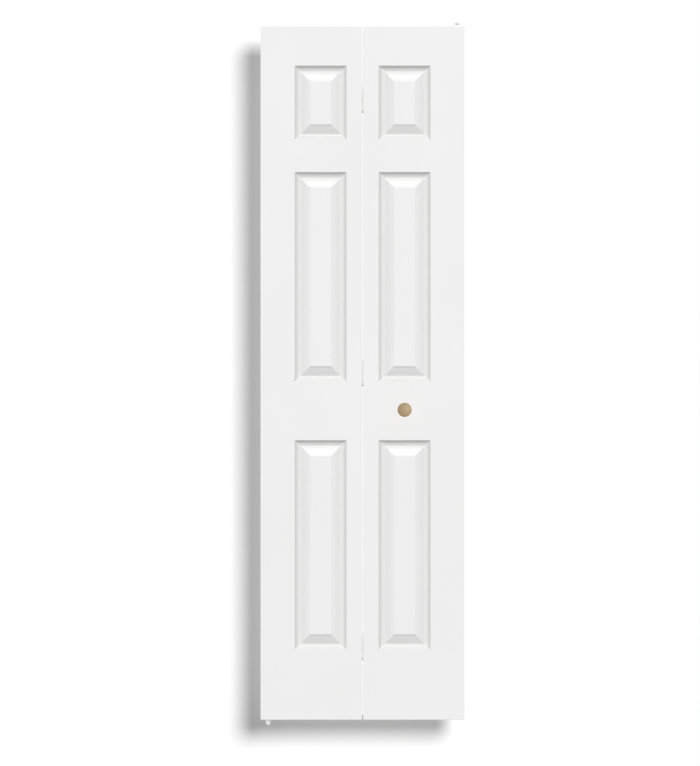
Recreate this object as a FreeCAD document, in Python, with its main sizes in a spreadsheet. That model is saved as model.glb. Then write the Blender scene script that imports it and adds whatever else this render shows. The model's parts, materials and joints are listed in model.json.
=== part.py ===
import FreeCAD, Part
import math
import os
import re
from typing import NamedTuple

import Sketcher
from FreeCAD import Placement, Rotation, Vector

# Two-leaf bifold closet door with moulded raised panels, hollow inside.
# X runs along the closed door to the viewer's right, Y away from the viewer, Z up.
# The origin is on the jamb pivot axis, at the shoulder of the bottom pivot pin.
# Each leaf is drawn from its outer edge inwards and up from its lower edge.

# Driving sizes in millimetres: one spreadsheet cell for each
SIZES = {
    # Leaves
    "leaf_height": 2006.6,
    "leaf_width": 293.7,
    "leaf_thickness": 34.9,
    "leaf_gap": 3.2,
    "pivot_inset": 22.0,
    # Moulded face, from the outer edge inwards and from the lower edge up
    "outer_margin": 98.4,
    "panel_width": 150.9,
    "bottom_margin": 202.2,
    "tall_panel": 607.4,
    "lock_band": 168.4,
    "upper_band": 92.3,
    "short_panel": 215.6,
    # Moulding section, run across the face and drop below it
    "skin_thickness": 3.2,
    "lip_run": 4.8,
    "lip_drop": 5.0,
    "groove_run": 17.3,
    "groove_drop": 10.0,
    "bevel_run": 46.0,
    "bevel_radius": 500.0,
    # Wood frame and filling between the skins
    "stile_width": 36.0,
    "top_rail_depth": 50.0,
    "bottom_rail_depth": 70.0,
    "cell_wall": 1.2,
    "cell_columns": 4.0,
    "block_width": 90.0,
    "block_height": 120.0,
    # Knob on the guide leaf and its through screw
    "knob_height": 897.0,
    "knob_radius": 20.5,
    "knob_brim_round": 6.0,
    "knob_brim_half": 5.0,
    "knob_waist": 8.0,
    "knob_foot": 10.5,
    "knob_foot_length": 2.2,
    "knob_waist_length": 9.0,
    "knob_brim_length": 19.0,
    "knob_screw_radius": 2.0,
    "knob_screw_bite": 12.0,
    "knob_screw_head": 4.6,
    "knob_screw_head_height": 2.4,
    "knob_washer_radius": 7.5,
    "knob_washer_thickness": 1.0,
    # Butt hinges in the gap, barrels on the closet side
    "hinge_margin": 210.0,
    "hinge_height": 76.0,
    "plate_thickness": 1.5,
    "plate_reach": 33.0,
    "hinge_pin_radius": 1.8,
    "hinge_pin_head": 2.6,
    "hinge_pin_head_height": 1.2,
    "barrel_stand_off": 0.4,
    "knuckle_play": 0.15,
    "hinge_screw_pitch": 25.0,
    "hinge_screw_setback": 17.5,
    "hinge_screw_radius": 1.8,
    "hinge_screw_head": 3.3,
    "hinge_screw_head_height": 1.3,
    "hinge_screw_length": 19.0,
    "hinge_screw_point": 5.0,
    # Bottom pivot: bolt, height nut, thrust washer and sleeve
    "foot_pin_radius": 4.75,
    "foot_pin_length": 8.0,
    "foot_collar_radius": 7.0,
    "foot_collar_height": 1.5,
    "bolt_radius": 4.5,
    "bolt_reach": 38.0,
    "nut_across_flats": 14.3,
    "nut_height": 5.0,
    "thrust_radius": 8.0,
    "thrust_height": 1.0,
    "pin_chamfer": 0.8,
    "nut_chamfer": 0.5,
    # Sleeves let into the ends of the outer stiles
    "sleeve_radius": 7.5,
    "sleeve_depth": 45.0,
    "sleeve_floor": 3.0,
    "flange_radius": 9.5,
    "flange_height": 1.5,
    # Sprung pins at the top
    "spring_bore": 5.75,
    "plug_depth": 7.5,
    "top_pin_radius": 4.0,
    "top_pin_reach": 12.0,
    "top_pin_rise": 2.0,
    "top_pin_tip": 3.75,
    "pin_collar_radius": 5.65,
    "pin_collar_height": 3.0,
    "pin_tail_radius": 2.8,
    "pin_tail_length": 14.0,
    "spring_radius": 4.4,
    "spring_wire": 0.55,
    "spring_turns": 8.0,
    # Guide roller
    "roller_rise": 6.2,
    "roller_radius": 8.0,
    "roller_height": 7.0,
    "roller_chamfer": 0.8,
    "neck_radius": 3.0,
    "clip_radius": 4.8,
    "clip_height": 1.0,
    # Clearances
    "running_fit": 0.05,
    "press_slack": 0.05,
    "roller_play": 0.1,
    "hole_slack": 0.3,
    "overrun": 2.0,
}

# Sizes that follow from the driving ones
DERIVED = {
    "half_thickness": "leaf_thickness / 2",
    "half_wood": "half_thickness - skin_thickness",
    "leaf_lift": "foot_collar_height + nut_height + thrust_height",
    "guide_edge": "2 * leaf_width + leaf_gap - pivot_inset",
    "tall_low": "bottom_margin",
    "tall_high": "tall_low + tall_panel + lock_band",
    "short_low": "tall_high + tall_panel + upper_band",
    "knob_across": "outer_margin + panel_width / 2",
    "brim_core": "knob_radius - knob_brim_round",
    "brim_reach": "(knob_brim_round ^ 2 - knob_brim_half ^ 2) ^ 0.5",
    "dome_radius": "knob_brim_round * (brim_core + brim_reach) / brim_reach",
    "dome_centre": "brim_core * knob_brim_half / brim_reach - knob_brim_length",
    "skin_lean": "skin_thickness / 2",
    "cove_width": "groove_run - lip_run",
    "cove_fall": "groove_drop - lip_drop",
    "cove_radius": "(cove_width ^ 2 + cove_fall ^ 2) / (2 * cove_fall)",
    "inner_cove_width": "cove_width + skin_lean",
    "inner_cove_radius": "(inner_cove_width ^ 2 + cove_fall ^ 2) / (2 * cove_fall)",
    "barrel_radius": "hinge_pin_radius + running_fit + plate_thickness",
    "barrel_across": "leaf_width + leaf_gap / 2",
    "barrel_back": "half_thickness + barrel_stand_off + barrel_radius",
    "knuckle_clear": "barrel_back - barrel_radius - barrel_stand_off / 2",
    "knuckle_height": "hinge_height / 3",
    "hinge_step": "(leaf_height - 2 * hinge_margin) / 2",
    "hinge_screw_back": "barrel_back - hinge_screw_setback",
    "nut_corner": "nut_across_flats / 3 ^ 0.5",
    "pin_stop": "leaf_height - plug_depth",
    "spring_top": "pin_stop - pin_collar_height",
    "spring_foot": "leaf_height - sleeve_depth + sleeve_floor",
    "roller_foot": "leaf_height + roller_rise",
    "roller_top": "roller_foot + roller_height + roller_play",
}

# Shares of the size that each one follows
TIP_SHARE = 0.15
BACK_TURN = Rotation(Vector(0, 0, 1), 180)


class Leaf(NamedTuple):
    """One leaf: its name, the way its width runs along X, and its outer edge."""

    name: str
    side: int
    edge: str


PIVOT_LEAF = Leaf("pivot_leaf", 1, "-pivot_inset")
GUIDE_LEAF = Leaf("guide_leaf", -1, "guide_edge")
HINGES = ("bottom", "middle", "top")

doc = FreeCAD.newDocument("BifoldDoor")
sheet = doc.addObject("Spreadsheet::Sheet", "Sizes")


# The size sheet

def fill_sheet():
    """Write the driving sizes as plain numbers and the derived ones as formulas."""
    rows = {name: str(value) for name, value in SIZES.items()}
    rows.update({name: "=" + text for name, text in DERIVED.items()})
    for row, (name, content) in enumerate(rows.items(), start=1):
        sheet.set(f"A{row}", name)
        sheet.set(f"B{row}", content)
        sheet.setAlias(f"B{row}", name)
    doc.recompute()


def cells(text):
    """Turn size names into references to their cells."""
    return re.sub(r"[a-z]\w*", lambda found: "Sizes." + found.group(), text)


def size(text):
    """Work out an expression of size names in millimetres."""
    return float(sheet.evalExpression(cells(text)))


# Sketches

def sketch_on(body, role, name, offset=None):
    """Attach a sketch to one of the body's own origin planes."""
    plane = next(item for item in body.Origin.OriginFeatures if item.Role == role)
    sketch = body.newObject("Sketcher::SketchObject", name)
    sketch.AttachmentSupport = [(plane, "")]
    sketch.MapMode = "FlatFace"
    if offset is not None:
        sketch.setExpression(".AttachmentOffset.Base.z", cells(offset))
    return sketch


def bind(sketch, kind, *where, text):
    """Add a dimension that follows an expression of size names."""
    index = sketch.addConstraint(Sketcher.Constraint(kind, *where, size(text)))
    name = f"size_{index}"
    sketch.renameConstraint(index, name)
    sketch.setExpression(f"Constraints.{name}", cells(text))


def pin_point(sketch, geometry, vertex, across, up):
    """Fix one vertex by its two coordinates; a plain zero puts it on the axis."""
    if across == "0":
        sketch.addConstraint(Sketcher.Constraint("PointOnObject", geometry, vertex, -2))
    else:
        bind(sketch, "DistanceX", -1, 1, geometry, vertex, text=across)
    if up == "0":
        sketch.addConstraint(Sketcher.Constraint("PointOnObject", geometry, vertex, -1))
    else:
        bind(sketch, "DistanceY", -1, 1, geometry, vertex, text=up)


def arc_edge(start, end, radius, centre_left):
    """Return the shorter arc from start to end, centred left or right of the way."""
    way = end - start
    middle = (start + end) / 2
    normal = Vector(-way.y, way.x, 0).normalize()
    rise = math.sqrt(radius ** 2 - (way.Length / 2) ** 2)
    centre = middle + normal * (rise if centre_left else -rise)
    first, last = (start, end) if centre_left else (end, start)
    angles = [math.atan2(point.y - centre.y, point.x - centre.x) for point in (first, last)]
    return Part.ArcOfCircle(Part.Circle(centre, Vector(0, 0, 1), radius), *angles)


def draw_outline(sketch, points, arcs=None):
    """Draw a closed outline; arcs maps an edge to its radius and centre side."""
    arcs = arcs or {}
    places = [Vector(size(across), size(up), 0) for across, up in points]
    ends = []
    for index, start in enumerate(places):
        end = places[(index + 1) % len(places)]
        if index in arcs:
            radius, centre_left = arcs[index]
            geometry = sketch.addGeometry(arc_edge(start, end, size(radius), centre_left))
            ends.append((geometry, 1, 2) if centre_left else (geometry, 2, 1))
        else:
            geometry = sketch.addGeometry(Part.LineSegment(start, end))
            ends.append((geometry, 1, 2))
    for index, (geometry, _, last) in enumerate(ends):
        following, first, _ = ends[(index + 1) % len(ends)]
        sketch.addConstraint(Sketcher.Constraint("Coincident", geometry, last, following, first))
    for (geometry, first, _), (across, up) in zip(ends, points):
        pin_point(sketch, geometry, first, across, up)
    for index, (radius, _) in arcs.items():
        bind(sketch, "Radius", ends[index][0], text=radius)


def draw_rectangle(sketch, left, low, right, high):
    """Draw a rectangle between two opposite corners."""
    draw_outline(sketch, [(left, low), (right, low), (right, high), (left, high)])


def draw_circle(sketch, across, up, radius):
    """Draw a circle fixed by its centre and radius."""
    centre = Vector(size(across), size(up), 0)
    geometry = sketch.addGeometry(Part.Circle(centre, Vector(0, 0, 1), size(radius)))
    pin_point(sketch, geometry, 3, across, up)
    bind(sketch, "Radius", geometry, text=radius)


# Solid features

def new_body(name, across="0", back="0", up="0", turn=None):
    """Start a sub-part whose place follows the size sheet."""
    body = doc.addObject("PartDesign::Body", name)
    body.Label = name
    if turn is not None:
        body.Placement = Placement(Vector(), turn)
    for axis, text in (("x", across), ("y", back), ("z", up)):
        if text != "0":
            body.setExpression(f".Placement.Base.{axis}", cells(text))
    return body


def leaf_body(leaf, part, back="0", turn=None):
    """Start a sub-part in the frame of one leaf's outer lower corner."""
    return new_body(part, leaf.edge, back, "leaf_lift", turn)


def on_side(side, text):
    """Measure an across size the way a leaf's width runs."""
    return text if side > 0 else f"-({text})"


def pad(body, sketch, length, reverse=False, middle=False):
    """Pad a sketch by a bound length."""
    feature = body.newObject("PartDesign::Pad", "Pad")
    feature.Profile = sketch
    feature.setExpression("Length", cells(length))
    feature.Reversed = reverse
    feature.Midplane = middle
    doc.recompute()
    return feature


def checked_cut(body, feature, before):
    """Make sure that a cut removes material."""
    doc.recompute()
    if not 0 < body.Shape.Volume < before:
        raise RuntimeError(f"{feature.Name} in {body.Label} cuts nothing")
    return feature


def pocket(body, sketch, length, reverse=False, middle=False):
    """Cut a sketch to a bound depth and check that it met the solid."""
    doc.recompute()
    before = body.Shape.Volume
    feature = body.newObject("PartDesign::Pocket", "Pocket")
    feature.Profile = sketch
    feature.setExpression("Length", cells(length))
    feature.Reversed = reverse
    feature.Midplane = middle
    return checked_cut(body, feature, before)


def revolve(body, sketch, kind="PartDesign::Revolution", axis="V_Axis"):
    """Turn a half outline a full turn about an axis of its sketch."""
    doc.recompute()
    before = body.Shape.Volume if kind.endswith("Groove") else None
    feature = body.newObject(kind, kind.split("::")[1])
    feature.Profile = sketch
    feature.ReferenceAxis = (sketch, [axis])
    feature.Angle = 360
    doc.recompute()
    return feature if before is None else checked_cut(body, feature, before)


def repeat_up(body, feature, pitch, count):
    """Repeat a feature upwards from its own place at a bound pitch."""
    axis = next(item for item in body.Origin.OriginFeatures if item.Role == "Z_Axis")
    pattern = body.newObject("PartDesign::LinearPattern", "Repeat")
    pattern.Originals = [feature]
    pattern.Direction = (axis, [""])
    pattern.Occurrences = count
    pattern.setExpression("Length", cells(f"{count - 1} * {pitch}"))
    body.Tip = pattern
    doc.recompute()
    return pattern


def turned(name, points, arcs=None, across="0", back="0", up="0"):
    """Make a piece turned about a vertical axis from radius and height points."""
    body = new_body(name, across, back, up)
    sketch = sketch_on(body, "XZ_Plane", "HalfOutline")
    draw_outline(sketch, points, arcs)
    revolve(body, sketch)
    return body


# Moulded skins

def moulding_cut():
    """Section that the panel moulding removes, run across and drop below the face."""
    points = [
        ("0", "-overrun"),
        ("0", "0"),
        ("lip_run", "lip_drop"),
        ("groove_run", "groove_drop"),
        ("bevel_run", "0"),
        ("bevel_run", "-overrun"),
    ]
    return points, {2: ("cove_radius", False), 3: ("bevel_radius", False)}


def moulding_backing():
    """Section of the skin pressed inwards behind the moulding, sheet level included."""
    points = [
        ("-skin_lean", "skin_thickness / 2"),
        ("-skin_lean", "skin_thickness"),
        ("lip_run - skin_lean", "lip_drop + skin_thickness"),
        ("groove_run", "groove_drop + skin_thickness"),
        ("bevel_run + skin_lean / 2", "skin_thickness"),
        ("bevel_run + skin_lean / 2", "skin_thickness / 2"),
    ]
    return points, {2: ("inner_cove_radius", False), 3: ("bevel_radius", False)}


def sweep_round_panel(body, kind, side, low, height, section):
    """Sweep a section round one panel opening, with mitred corners."""
    near = on_side(side, "outer_margin")
    far = on_side(side, "outer_margin + panel_width")
    high = f"{low} + {height}"
    middle = f"{low} + {height} / 2"
    path = sketch_on(body, "XZ_Plane", "Opening")
    draw_outline(path, [(near, middle), (near, high), (far, high), (far, low), (near, low)])
    profile = sketch_on(body, "XY_Plane", "Section", middle)
    points, arcs = section
    shifted = [(on_side(side, f"outer_margin + ({run})"), drop) for run, drop in points]
    turned_arcs = {edge: (radius, left == (side > 0)) for edge, (radius, left) in arcs.items()}
    draw_outline(profile, shifted, turned_arcs)
    doc.recompute()
    pipe = body.newObject(kind, kind.split("::")[1])
    pipe.Profile = profile
    pipe.Spine = (path, [f"Edge{number}" for number in range(1, len(path.Geometry) + 1)])
    pipe.Transition = "Right corner"
    doc.recompute()
    return pipe


def moulded_skin(leaf, part, back_side):
    """Press three raised panels into one sheet; also return it before the panels are cut."""
    side = -leaf.side if back_side else leaf.side
    place = "half_thickness" if back_side else "-half_thickness"
    body = leaf_body(leaf, f"{leaf.name}_{part}", place, BACK_TURN if back_side else None)
    sheet_outline = sketch_on(body, "XZ_Plane", "SheetOutline")
    draw_rectangle(sheet_outline, "0", "0", on_side(side, "leaf_width"), "leaf_height")
    pad(body, sheet_outline, "skin_thickness", reverse=True)
    panels = (("tall_low", "tall_panel"), ("tall_high", "tall_panel"), ("short_low", "short_panel"))
    for low, height in panels:
        backing = sweep_round_panel(
            body, "PartDesign::AdditivePipe", side, low, height, moulding_backing())
    for low, height in panels:
        before = body.Shape.Volume
        cut = sweep_round_panel(
            body, "PartDesign::SubtractivePipe", side, low, height, moulding_cut())
        checked_cut(body, cut, before)
    if leaf is GUIDE_LEAF:
        hole = sketch_on(body, "XZ_Plane", "KnobHole")
        draw_circle(hole, on_side(side, "knob_across"), "knob_height",
                    "knob_screw_radius + hole_slack")
        pocket(body, hole, "leaf_thickness", middle=True)
    filled = backing.Shape.copy()
    filled.Placement = body.Placement * filled.Placement
    return body, filled


# Wood frame of a leaf

def wood_piece(leaf, part, near, far, low, high):
    """Make one straight piece of the frame between the skins."""
    body = leaf_body(leaf, f"{leaf.name}_{part}")
    outline = sketch_on(body, "XZ_Plane", "Outline")
    draw_rectangle(outline, on_side(leaf.side, near), low, on_side(leaf.side, far), high)
    pad(body, outline, "2 * half_wood", middle=True)
    return body


def end_bore(leaf, body, at_top, radius, depth):
    """Bore an end of the outer stile on the pivot axis."""
    sketch = sketch_on(body, "XY_Plane", "EndBore", "leaf_height" if at_top else None)
    draw_circle(sketch, on_side(leaf.side, "pivot_inset"), "0", radius)
    pocket(body, sketch, depth, reverse=not at_top)


def outer_stile(leaf, part, sleeved_ends):
    """Make the stile that holds a leaf's sleeves."""
    body = wood_piece(leaf, part, "0", "stile_width", "0", "leaf_height")
    for at_top in sleeved_ends:
        end_bore(leaf, body, at_top, "sleeve_radius + press_slack", "sleeve_depth + press_slack")
        end_bore(leaf, body, at_top, "flange_radius + press_slack", "flange_height")
    return body


def hinge_centre(number):
    """Height of a hinge's middle above the leaf's lower edge."""
    return f"hinge_margin + {number} * hinge_step"


def hinge_stile(leaf):
    """Make the stile at the fold, bored for the hinge screws."""
    body = wood_piece(leaf, "hinge_stile", "leaf_width - stile_width", "leaf_width",
                      "0", "leaf_height")
    pilots = sketch_on(body, "YZ_Plane", "Pilots", on_side(leaf.side, "leaf_width"))
    for hinge in range(len(HINGES)):
        for row in (-1, 0, 1):
            draw_circle(pilots, "hinge_screw_back",
                        f"{hinge_centre(hinge)} + {row} * hinge_screw_pitch",
                        "hinge_screw_radius + press_slack")
    pocket(body, pilots, "hinge_screw_length", reverse=leaf.side < 0)
    return body


def knob_block(leaf):
    """Make the block that backs the knob and bore it for the screw."""
    body = wood_piece(leaf, "knob_block",
                      "knob_across - block_width / 2", "knob_across + block_width / 2",
                      "knob_height - block_height / 2", "knob_height + block_height / 2")
    hole = sketch_on(body, "XZ_Plane", "ScrewHole")
    draw_circle(hole, on_side(leaf.side, "knob_across"), "knob_height",
                "knob_screw_radius + hole_slack")
    pocket(body, hole, "leaf_thickness", middle=True)
    return body


def flat_face(points):
    """Make a face in the upright plane from across and up points."""
    corners = [Vector(across, 0, up) for across, up in points]
    return Part.Face(Part.makePolygon(corners + corners[:1]))


def cell_face(across, up, radius):
    """Make one six-sided cell with corners above and below its middle."""
    turns = [math.radians(90 + 60 * step) for step in range(6)]
    return flat_face([(across + radius * math.cos(turn), up + radius * math.sin(turn))
                      for turn in turns])


def honeycomb_core(leaf, filled_skins, block=None):
    """Fill the hollow of a leaf with paper cells, pressed down behind the mouldings."""
    near, far = size("stile_width"), size("leaf_width - stile_width")
    low, high = size("bottom_rail_depth"), size("leaf_height - top_rail_depth")
    wall = size("cell_wall")
    pitch = (far - near) / size("cell_columns")
    row_step = pitch * math.sqrt(3) / 2
    radius = (pitch - wall) / math.sqrt(3)
    cell_list = []
    for row in range(int((high - low) / row_step) + 2):
        shift = pitch / 2 * (row % 2)
        for column in range(int(size("cell_columns")) + 1):
            across = near + pitch / 2 + pitch * column - shift
            cell_list.append(cell_face(across, low + row_step * row, radius))
    hollow = flat_face([(near + wall, low + wall), (far - wall, low + wall),
                        (far - wall, high - wall), (near + wall, high - wall)])
    openings = hollow.common(Part.makeCompound(cell_list))
    walls = flat_face([(near, low), (far, low), (far, high), (near, high)]).cut(openings)
    thickness = size("2 * half_wood")
    core = walls.extrude(Vector(0, thickness, 0)).translated(Vector(0, -thickness / 2, 0))
    if leaf.side < 0:
        core = core.mirror(Vector(), Vector(1, 0, 0))
    core.translate(Vector(size(leaf.edge), 0, size("leaf_lift")))
    tools = list(filled_skins)
    if block is not None:
        tools.append(block_room(block))
    core = core.cut(tools)
    solids = sorted(core.Solids, key=lambda solid: solid.Volume)
    piece = doc.addObject("Part::Feature", f"{leaf.name}_honeycomb_core")
    piece.Label = piece.Name
    piece.Shape = solids[-1]
    return piece


def block_room(block):
    """Box that clears the knob block all round."""
    box = block.Shape.BoundBox
    slack = size("hole_slack")
    room = Part.makeBox(box.XLength + 2 * slack, box.YLength + 2 * slack, box.ZLength + 2 * slack)
    room.translate(Vector(box.XMin - slack, box.YMin - slack, box.ZMin - slack))
    return room


def hollow_leaf(leaf, outer_part, sleeved_ends):
    """Build the skins, frame and filling of one leaf."""
    _, filled_front = moulded_skin(leaf, "front_skin", back_side=False)
    _, filled_back = moulded_skin(leaf, "back_skin", back_side=True)
    outer_stile(leaf, outer_part, sleeved_ends)
    hinge_stile(leaf)
    inner = ("stile_width", "leaf_width - stile_width")
    wood_piece(leaf, "top_rail", *inner, "leaf_height - top_rail_depth", "leaf_height")
    wood_piece(leaf, "bottom_rail", *inner, "0", "bottom_rail_depth")
    block = knob_block(leaf) if leaf is GUIDE_LEAF else None
    honeycomb_core(leaf, (filled_front, filled_back), block)


# Hinges

def hinge_plate(leaf, name, number, own_knuckles):
    """Make one hinge plate with its knuckles rolled round the pin."""
    body = leaf_body(leaf, name)
    low = f"{hinge_centre(number)} - hinge_height / 2"
    side = leaf.side
    outline = sketch_on(body, "XY_Plane", "PlateSection", low)
    draw_rectangle(outline, on_side(side, "leaf_width"), "barrel_back - plate_reach",
                   on_side(side, "leaf_width + plate_thickness"), "barrel_back")
    pad(body, outline, "hinge_height")
    barrel = sketch_on(body, "XY_Plane", "Barrel", low)
    draw_circle(barrel, on_side(side, "barrel_across"), "barrel_back", "barrel_radius")
    pad(body, barrel, "hinge_height")
    bore = sketch_on(body, "XY_Plane", "PinBore", low)
    draw_circle(bore, on_side(side, "barrel_across"), "barrel_back",
                "hinge_pin_radius + running_fit")
    pocket(body, bore, "hinge_height", reverse=True)
    for knuckle in range(3):
        if knuckle in own_knuckles:
            continue
        gap_low = f"{low} + {knuckle} * knuckle_height - knuckle_play"
        gap = sketch_on(body, "XY_Plane", "KnuckleGap", gap_low)
        draw_rectangle(gap, on_side(side, "barrel_across - barrel_radius - overrun"),
                       "knuckle_clear",
                       on_side(side, "barrel_across + barrel_radius + overrun"),
                       "barrel_back + barrel_radius + overrun")
        pocket(body, gap, "knuckle_height + 2 * knuckle_play", reverse=True)
    sink = screw_seat(leaf, body, number)
    repeat_up(body, sink, "hinge_screw_pitch", 3)
    return body


def screw_outline(side, slack):
    """Half outline of a countersunk screw lying along X, head at the plate's face."""
    face = "leaf_width + plate_thickness"
    neck = f"{face} - hinge_screw_head_height"
    ends = {"head": f"hinge_screw_head + {slack}", "shank": f"hinge_screw_radius + {slack}"}
    return [
        (on_side(side, face), "0"),
        (on_side(side, face), ends["head"]),
        (on_side(side, neck), ends["shank"]),
        (on_side(side, f"{face} - hinge_screw_length + hinge_screw_point"), ends["shank"]),
        (on_side(side, f"{face} - hinge_screw_length"), f"{TIP_SHARE} * hinge_screw_radius"),
        (on_side(side, f"{face} - hinge_screw_length"), "0"),
    ]


def screw_seat(leaf, body, number):
    """Countersink the lowest screw hole of a plate."""
    seat = seated_sketch(body, number)
    draw_outline(seat, screw_outline(leaf.side, "press_slack"))
    return revolve(body, seat, "PartDesign::Groove", "H_Axis")


def seated_sketch(body, number):
    """Attach a flat sketch at the height and setback of a plate's lowest screw."""
    sketch = sketch_on(body, "XY_Plane", "ScrewSection",
                       f"{hinge_centre(number)} - hinge_screw_pitch")
    sketch.setExpression(".AttachmentOffset.Base.y", cells("hinge_screw_back"))
    return sketch


def hinge_screws(leaf, name, number):
    """Make the three countersunk screws of one plate."""
    body = leaf_body(leaf, name)
    outline = seated_sketch(body, number)
    draw_outline(outline, screw_outline(leaf.side, "0 * press_slack"))
    screw = revolve(body, outline, axis="H_Axis")
    repeat_up(body, screw, "hinge_screw_pitch", 3)
    return body


def hinge_pin(name, number):
    """Make a hinge pin with a flat head above the barrel."""
    low = f"{hinge_centre(number)} - hinge_height / 2"
    high = f"{low} + hinge_height"
    return turned(name, [
        ("0", low),
        ("hinge_pin_radius", low),
        ("hinge_pin_radius", high),
        ("hinge_pin_head", high),
        ("hinge_pin_head", f"{high} + hinge_pin_head_height"),
        ("0", f"{high} + hinge_pin_head_height"),
    ], across="barrel_across - pivot_inset", back="barrel_back", up="leaf_lift")


def fold_hinges():
    """Build the three hinges that join the leaves."""
    for number, label in enumerate(HINGES):
        hinge_plate(PIVOT_LEAF, f"{label}_hinge_pivot_plate", number, own_knuckles=(0, 2))
        hinge_plate(GUIDE_LEAF, f"{label}_hinge_guide_plate", number, own_knuckles=(1,))
        hinge_pin(f"{label}_hinge_pin", number)
        hinge_screws(PIVOT_LEAF, f"{label}_hinge_pivot_screws", number)
        hinge_screws(GUIDE_LEAF, f"{label}_hinge_guide_screws", number)


# Knob

def turned_along_depth(name, points, arcs=None, back="0"):
    """Make a piece turned about the knob's own axis, which runs front to back."""
    body = new_body(name, "guide_edge - knob_across", back, "leaf_lift + knob_height")
    sketch = sketch_on(body, "XY_Plane", "HalfOutline")
    draw_outline(sketch, points, arcs)
    revolve(body, sketch)
    return body


def knob_parts():
    """Build the turned knob, its screw and the washer on the closet side."""
    thread = "knob_screw_radius + running_fit"
    turned_along_depth("knob", [
        (thread, "0"),
        ("knob_foot", "0"),
        ("knob_foot", "-knob_foot_length"),
        ("knob_waist", "-knob_waist_length"),
        ("brim_core + brim_reach", "knob_brim_half - knob_brim_length"),
        ("brim_core + brim_reach", "-(knob_brim_half + knob_brim_length)"),
        ("0", "dome_centre - dome_radius"),
        ("0", "-(knob_screw_bite + overrun)"),
        (thread, "-(knob_screw_bite + overrun)"),
    ], {4: ("knob_brim_round", False), 5: ("dome_radius", False)}, back="-half_thickness")
    turned_along_depth("knob_washer", [
        (thread, "0"),
        ("knob_washer_radius", "0"),
        ("knob_washer_radius", "knob_washer_thickness"),
        (thread, "knob_washer_thickness"),
    ], back="half_thickness")
    seat = "half_thickness + knob_washer_thickness"
    turned_along_depth("knob_screw", [
        ("0", "-(half_thickness + knob_screw_bite)"),
        ("knob_screw_radius", "-(half_thickness + knob_screw_bite)"),
        ("knob_screw_radius", seat),
        ("knob_screw_head", seat),
        ("knob_screw_head - pin_chamfer", f"{seat} + knob_screw_head_height"),
        ("0", f"{seat} + knob_screw_head_height"),
    ])


# Bottom pivot

def bottom_pivot():
    """Build the bolt that stands in the jamb, its height nut, washer and sleeve."""
    top = "leaf_lift + bolt_reach"
    bore = "bolt_radius + running_fit"
    turned("bottom_pivot_bolt", [
        ("0", "-foot_pin_length"),
        ("foot_pin_radius - pin_chamfer", "-foot_pin_length"),
        ("foot_pin_radius", "-foot_pin_length + pin_chamfer"),
        ("foot_pin_radius", "0"),
        ("foot_collar_radius", "0"),
        ("foot_collar_radius", "foot_collar_height"),
        ("bolt_radius", "foot_collar_height"),
        ("bolt_radius", f"{top} - pin_chamfer"),
        ("bolt_radius - pin_chamfer", top),
        ("0", top),
    ])
    height_nut(bore)
    turned("thrust_washer", [
        (bore, "0"),
        ("thrust_radius", "0"),
        ("thrust_radius", "thrust_height"),
        (bore, "thrust_height"),
    ], up="foot_collar_height + nut_height")
    turned("bottom_pivot_sleeve", [
        (bore, "0"),
        ("flange_radius", "0"),
        ("flange_radius", "flange_height"),
        ("sleeve_radius", "flange_height"),
        ("sleeve_radius", "sleeve_depth"),
        ("0", "sleeve_depth"),
        ("0", "sleeve_depth - sleeve_floor"),
        (bore, "sleeve_depth - sleeve_floor"),
    ], up="leaf_lift")


def height_nut(bore):
    """Make the six-sided nut with its corners chamfered top and bottom."""
    body = new_body("height_nut", up="foot_collar_height")
    outline = sketch_on(body, "XY_Plane", "Hexagon")
    half = "nut_across_flats / 2"
    draw_outline(outline, [
        (half, "-nut_corner / 2"),
        (half, "nut_corner / 2"),
        ("0", "nut_corner"),
        (f"-{half}", "nut_corner / 2"),
        (f"-{half}", "-nut_corner / 2"),
        ("0", "-nut_corner"),
    ])
    pad(body, outline, "nut_height")
    hole = sketch_on(body, "XY_Plane", "Bore")
    draw_circle(hole, "0", "0", bore)
    pocket(body, hole, "nut_height", reverse=True)
    rim = sketch_on(body, "XZ_Plane", "CornerCut")
    far = "nut_corner + overrun"
    draw_outline(rim, [
        (half, "-overrun"),
        (far, "-overrun"),
        (far, "nut_chamfer"),
        ("nut_corner", "nut_chamfer"),
        (half, "0"),
    ])
    revolve(body, rim, "PartDesign::Groove")
    crown = sketch_on(body, "XZ_Plane", "CrownCut")
    draw_outline(crown, [
        (half, "nut_height"),
        ("nut_corner", "nut_height - nut_chamfer"),
        (far, "nut_height - nut_chamfer"),
        (far, "nut_height + overrun"),
        (half, "nut_height + overrun"),
    ])
    revolve(body, crown, "PartDesign::Groove")
    return body


# Sprung pins at the top

def sprung_seat(prefix, across):
    """Build the sleeve, plug and spring that hold one sprung pin."""
    place = {"across": across, "up": "leaf_lift"}
    bottom = "leaf_height - sleeve_depth"
    top = "leaf_height - flange_height"
    turned(f"{prefix}_sleeve", [
        ("0", bottom),
        ("sleeve_radius", bottom),
        ("sleeve_radius", top),
        ("spring_bore", top),
        ("spring_bore", "spring_foot"),
        ("0", "spring_foot"),
    ], **place)
    turned(f"{prefix}_plug", [
        ("top_pin_radius + running_fit", "pin_stop"),
        ("spring_bore - press_slack", "pin_stop"),
        ("spring_bore - press_slack", top),
        ("flange_radius", top),
        ("flange_radius", "leaf_height"),
        ("top_pin_radius + running_fit", "leaf_height"),
    ], **place)
    coil_spring(f"{prefix}_spring", across)


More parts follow.
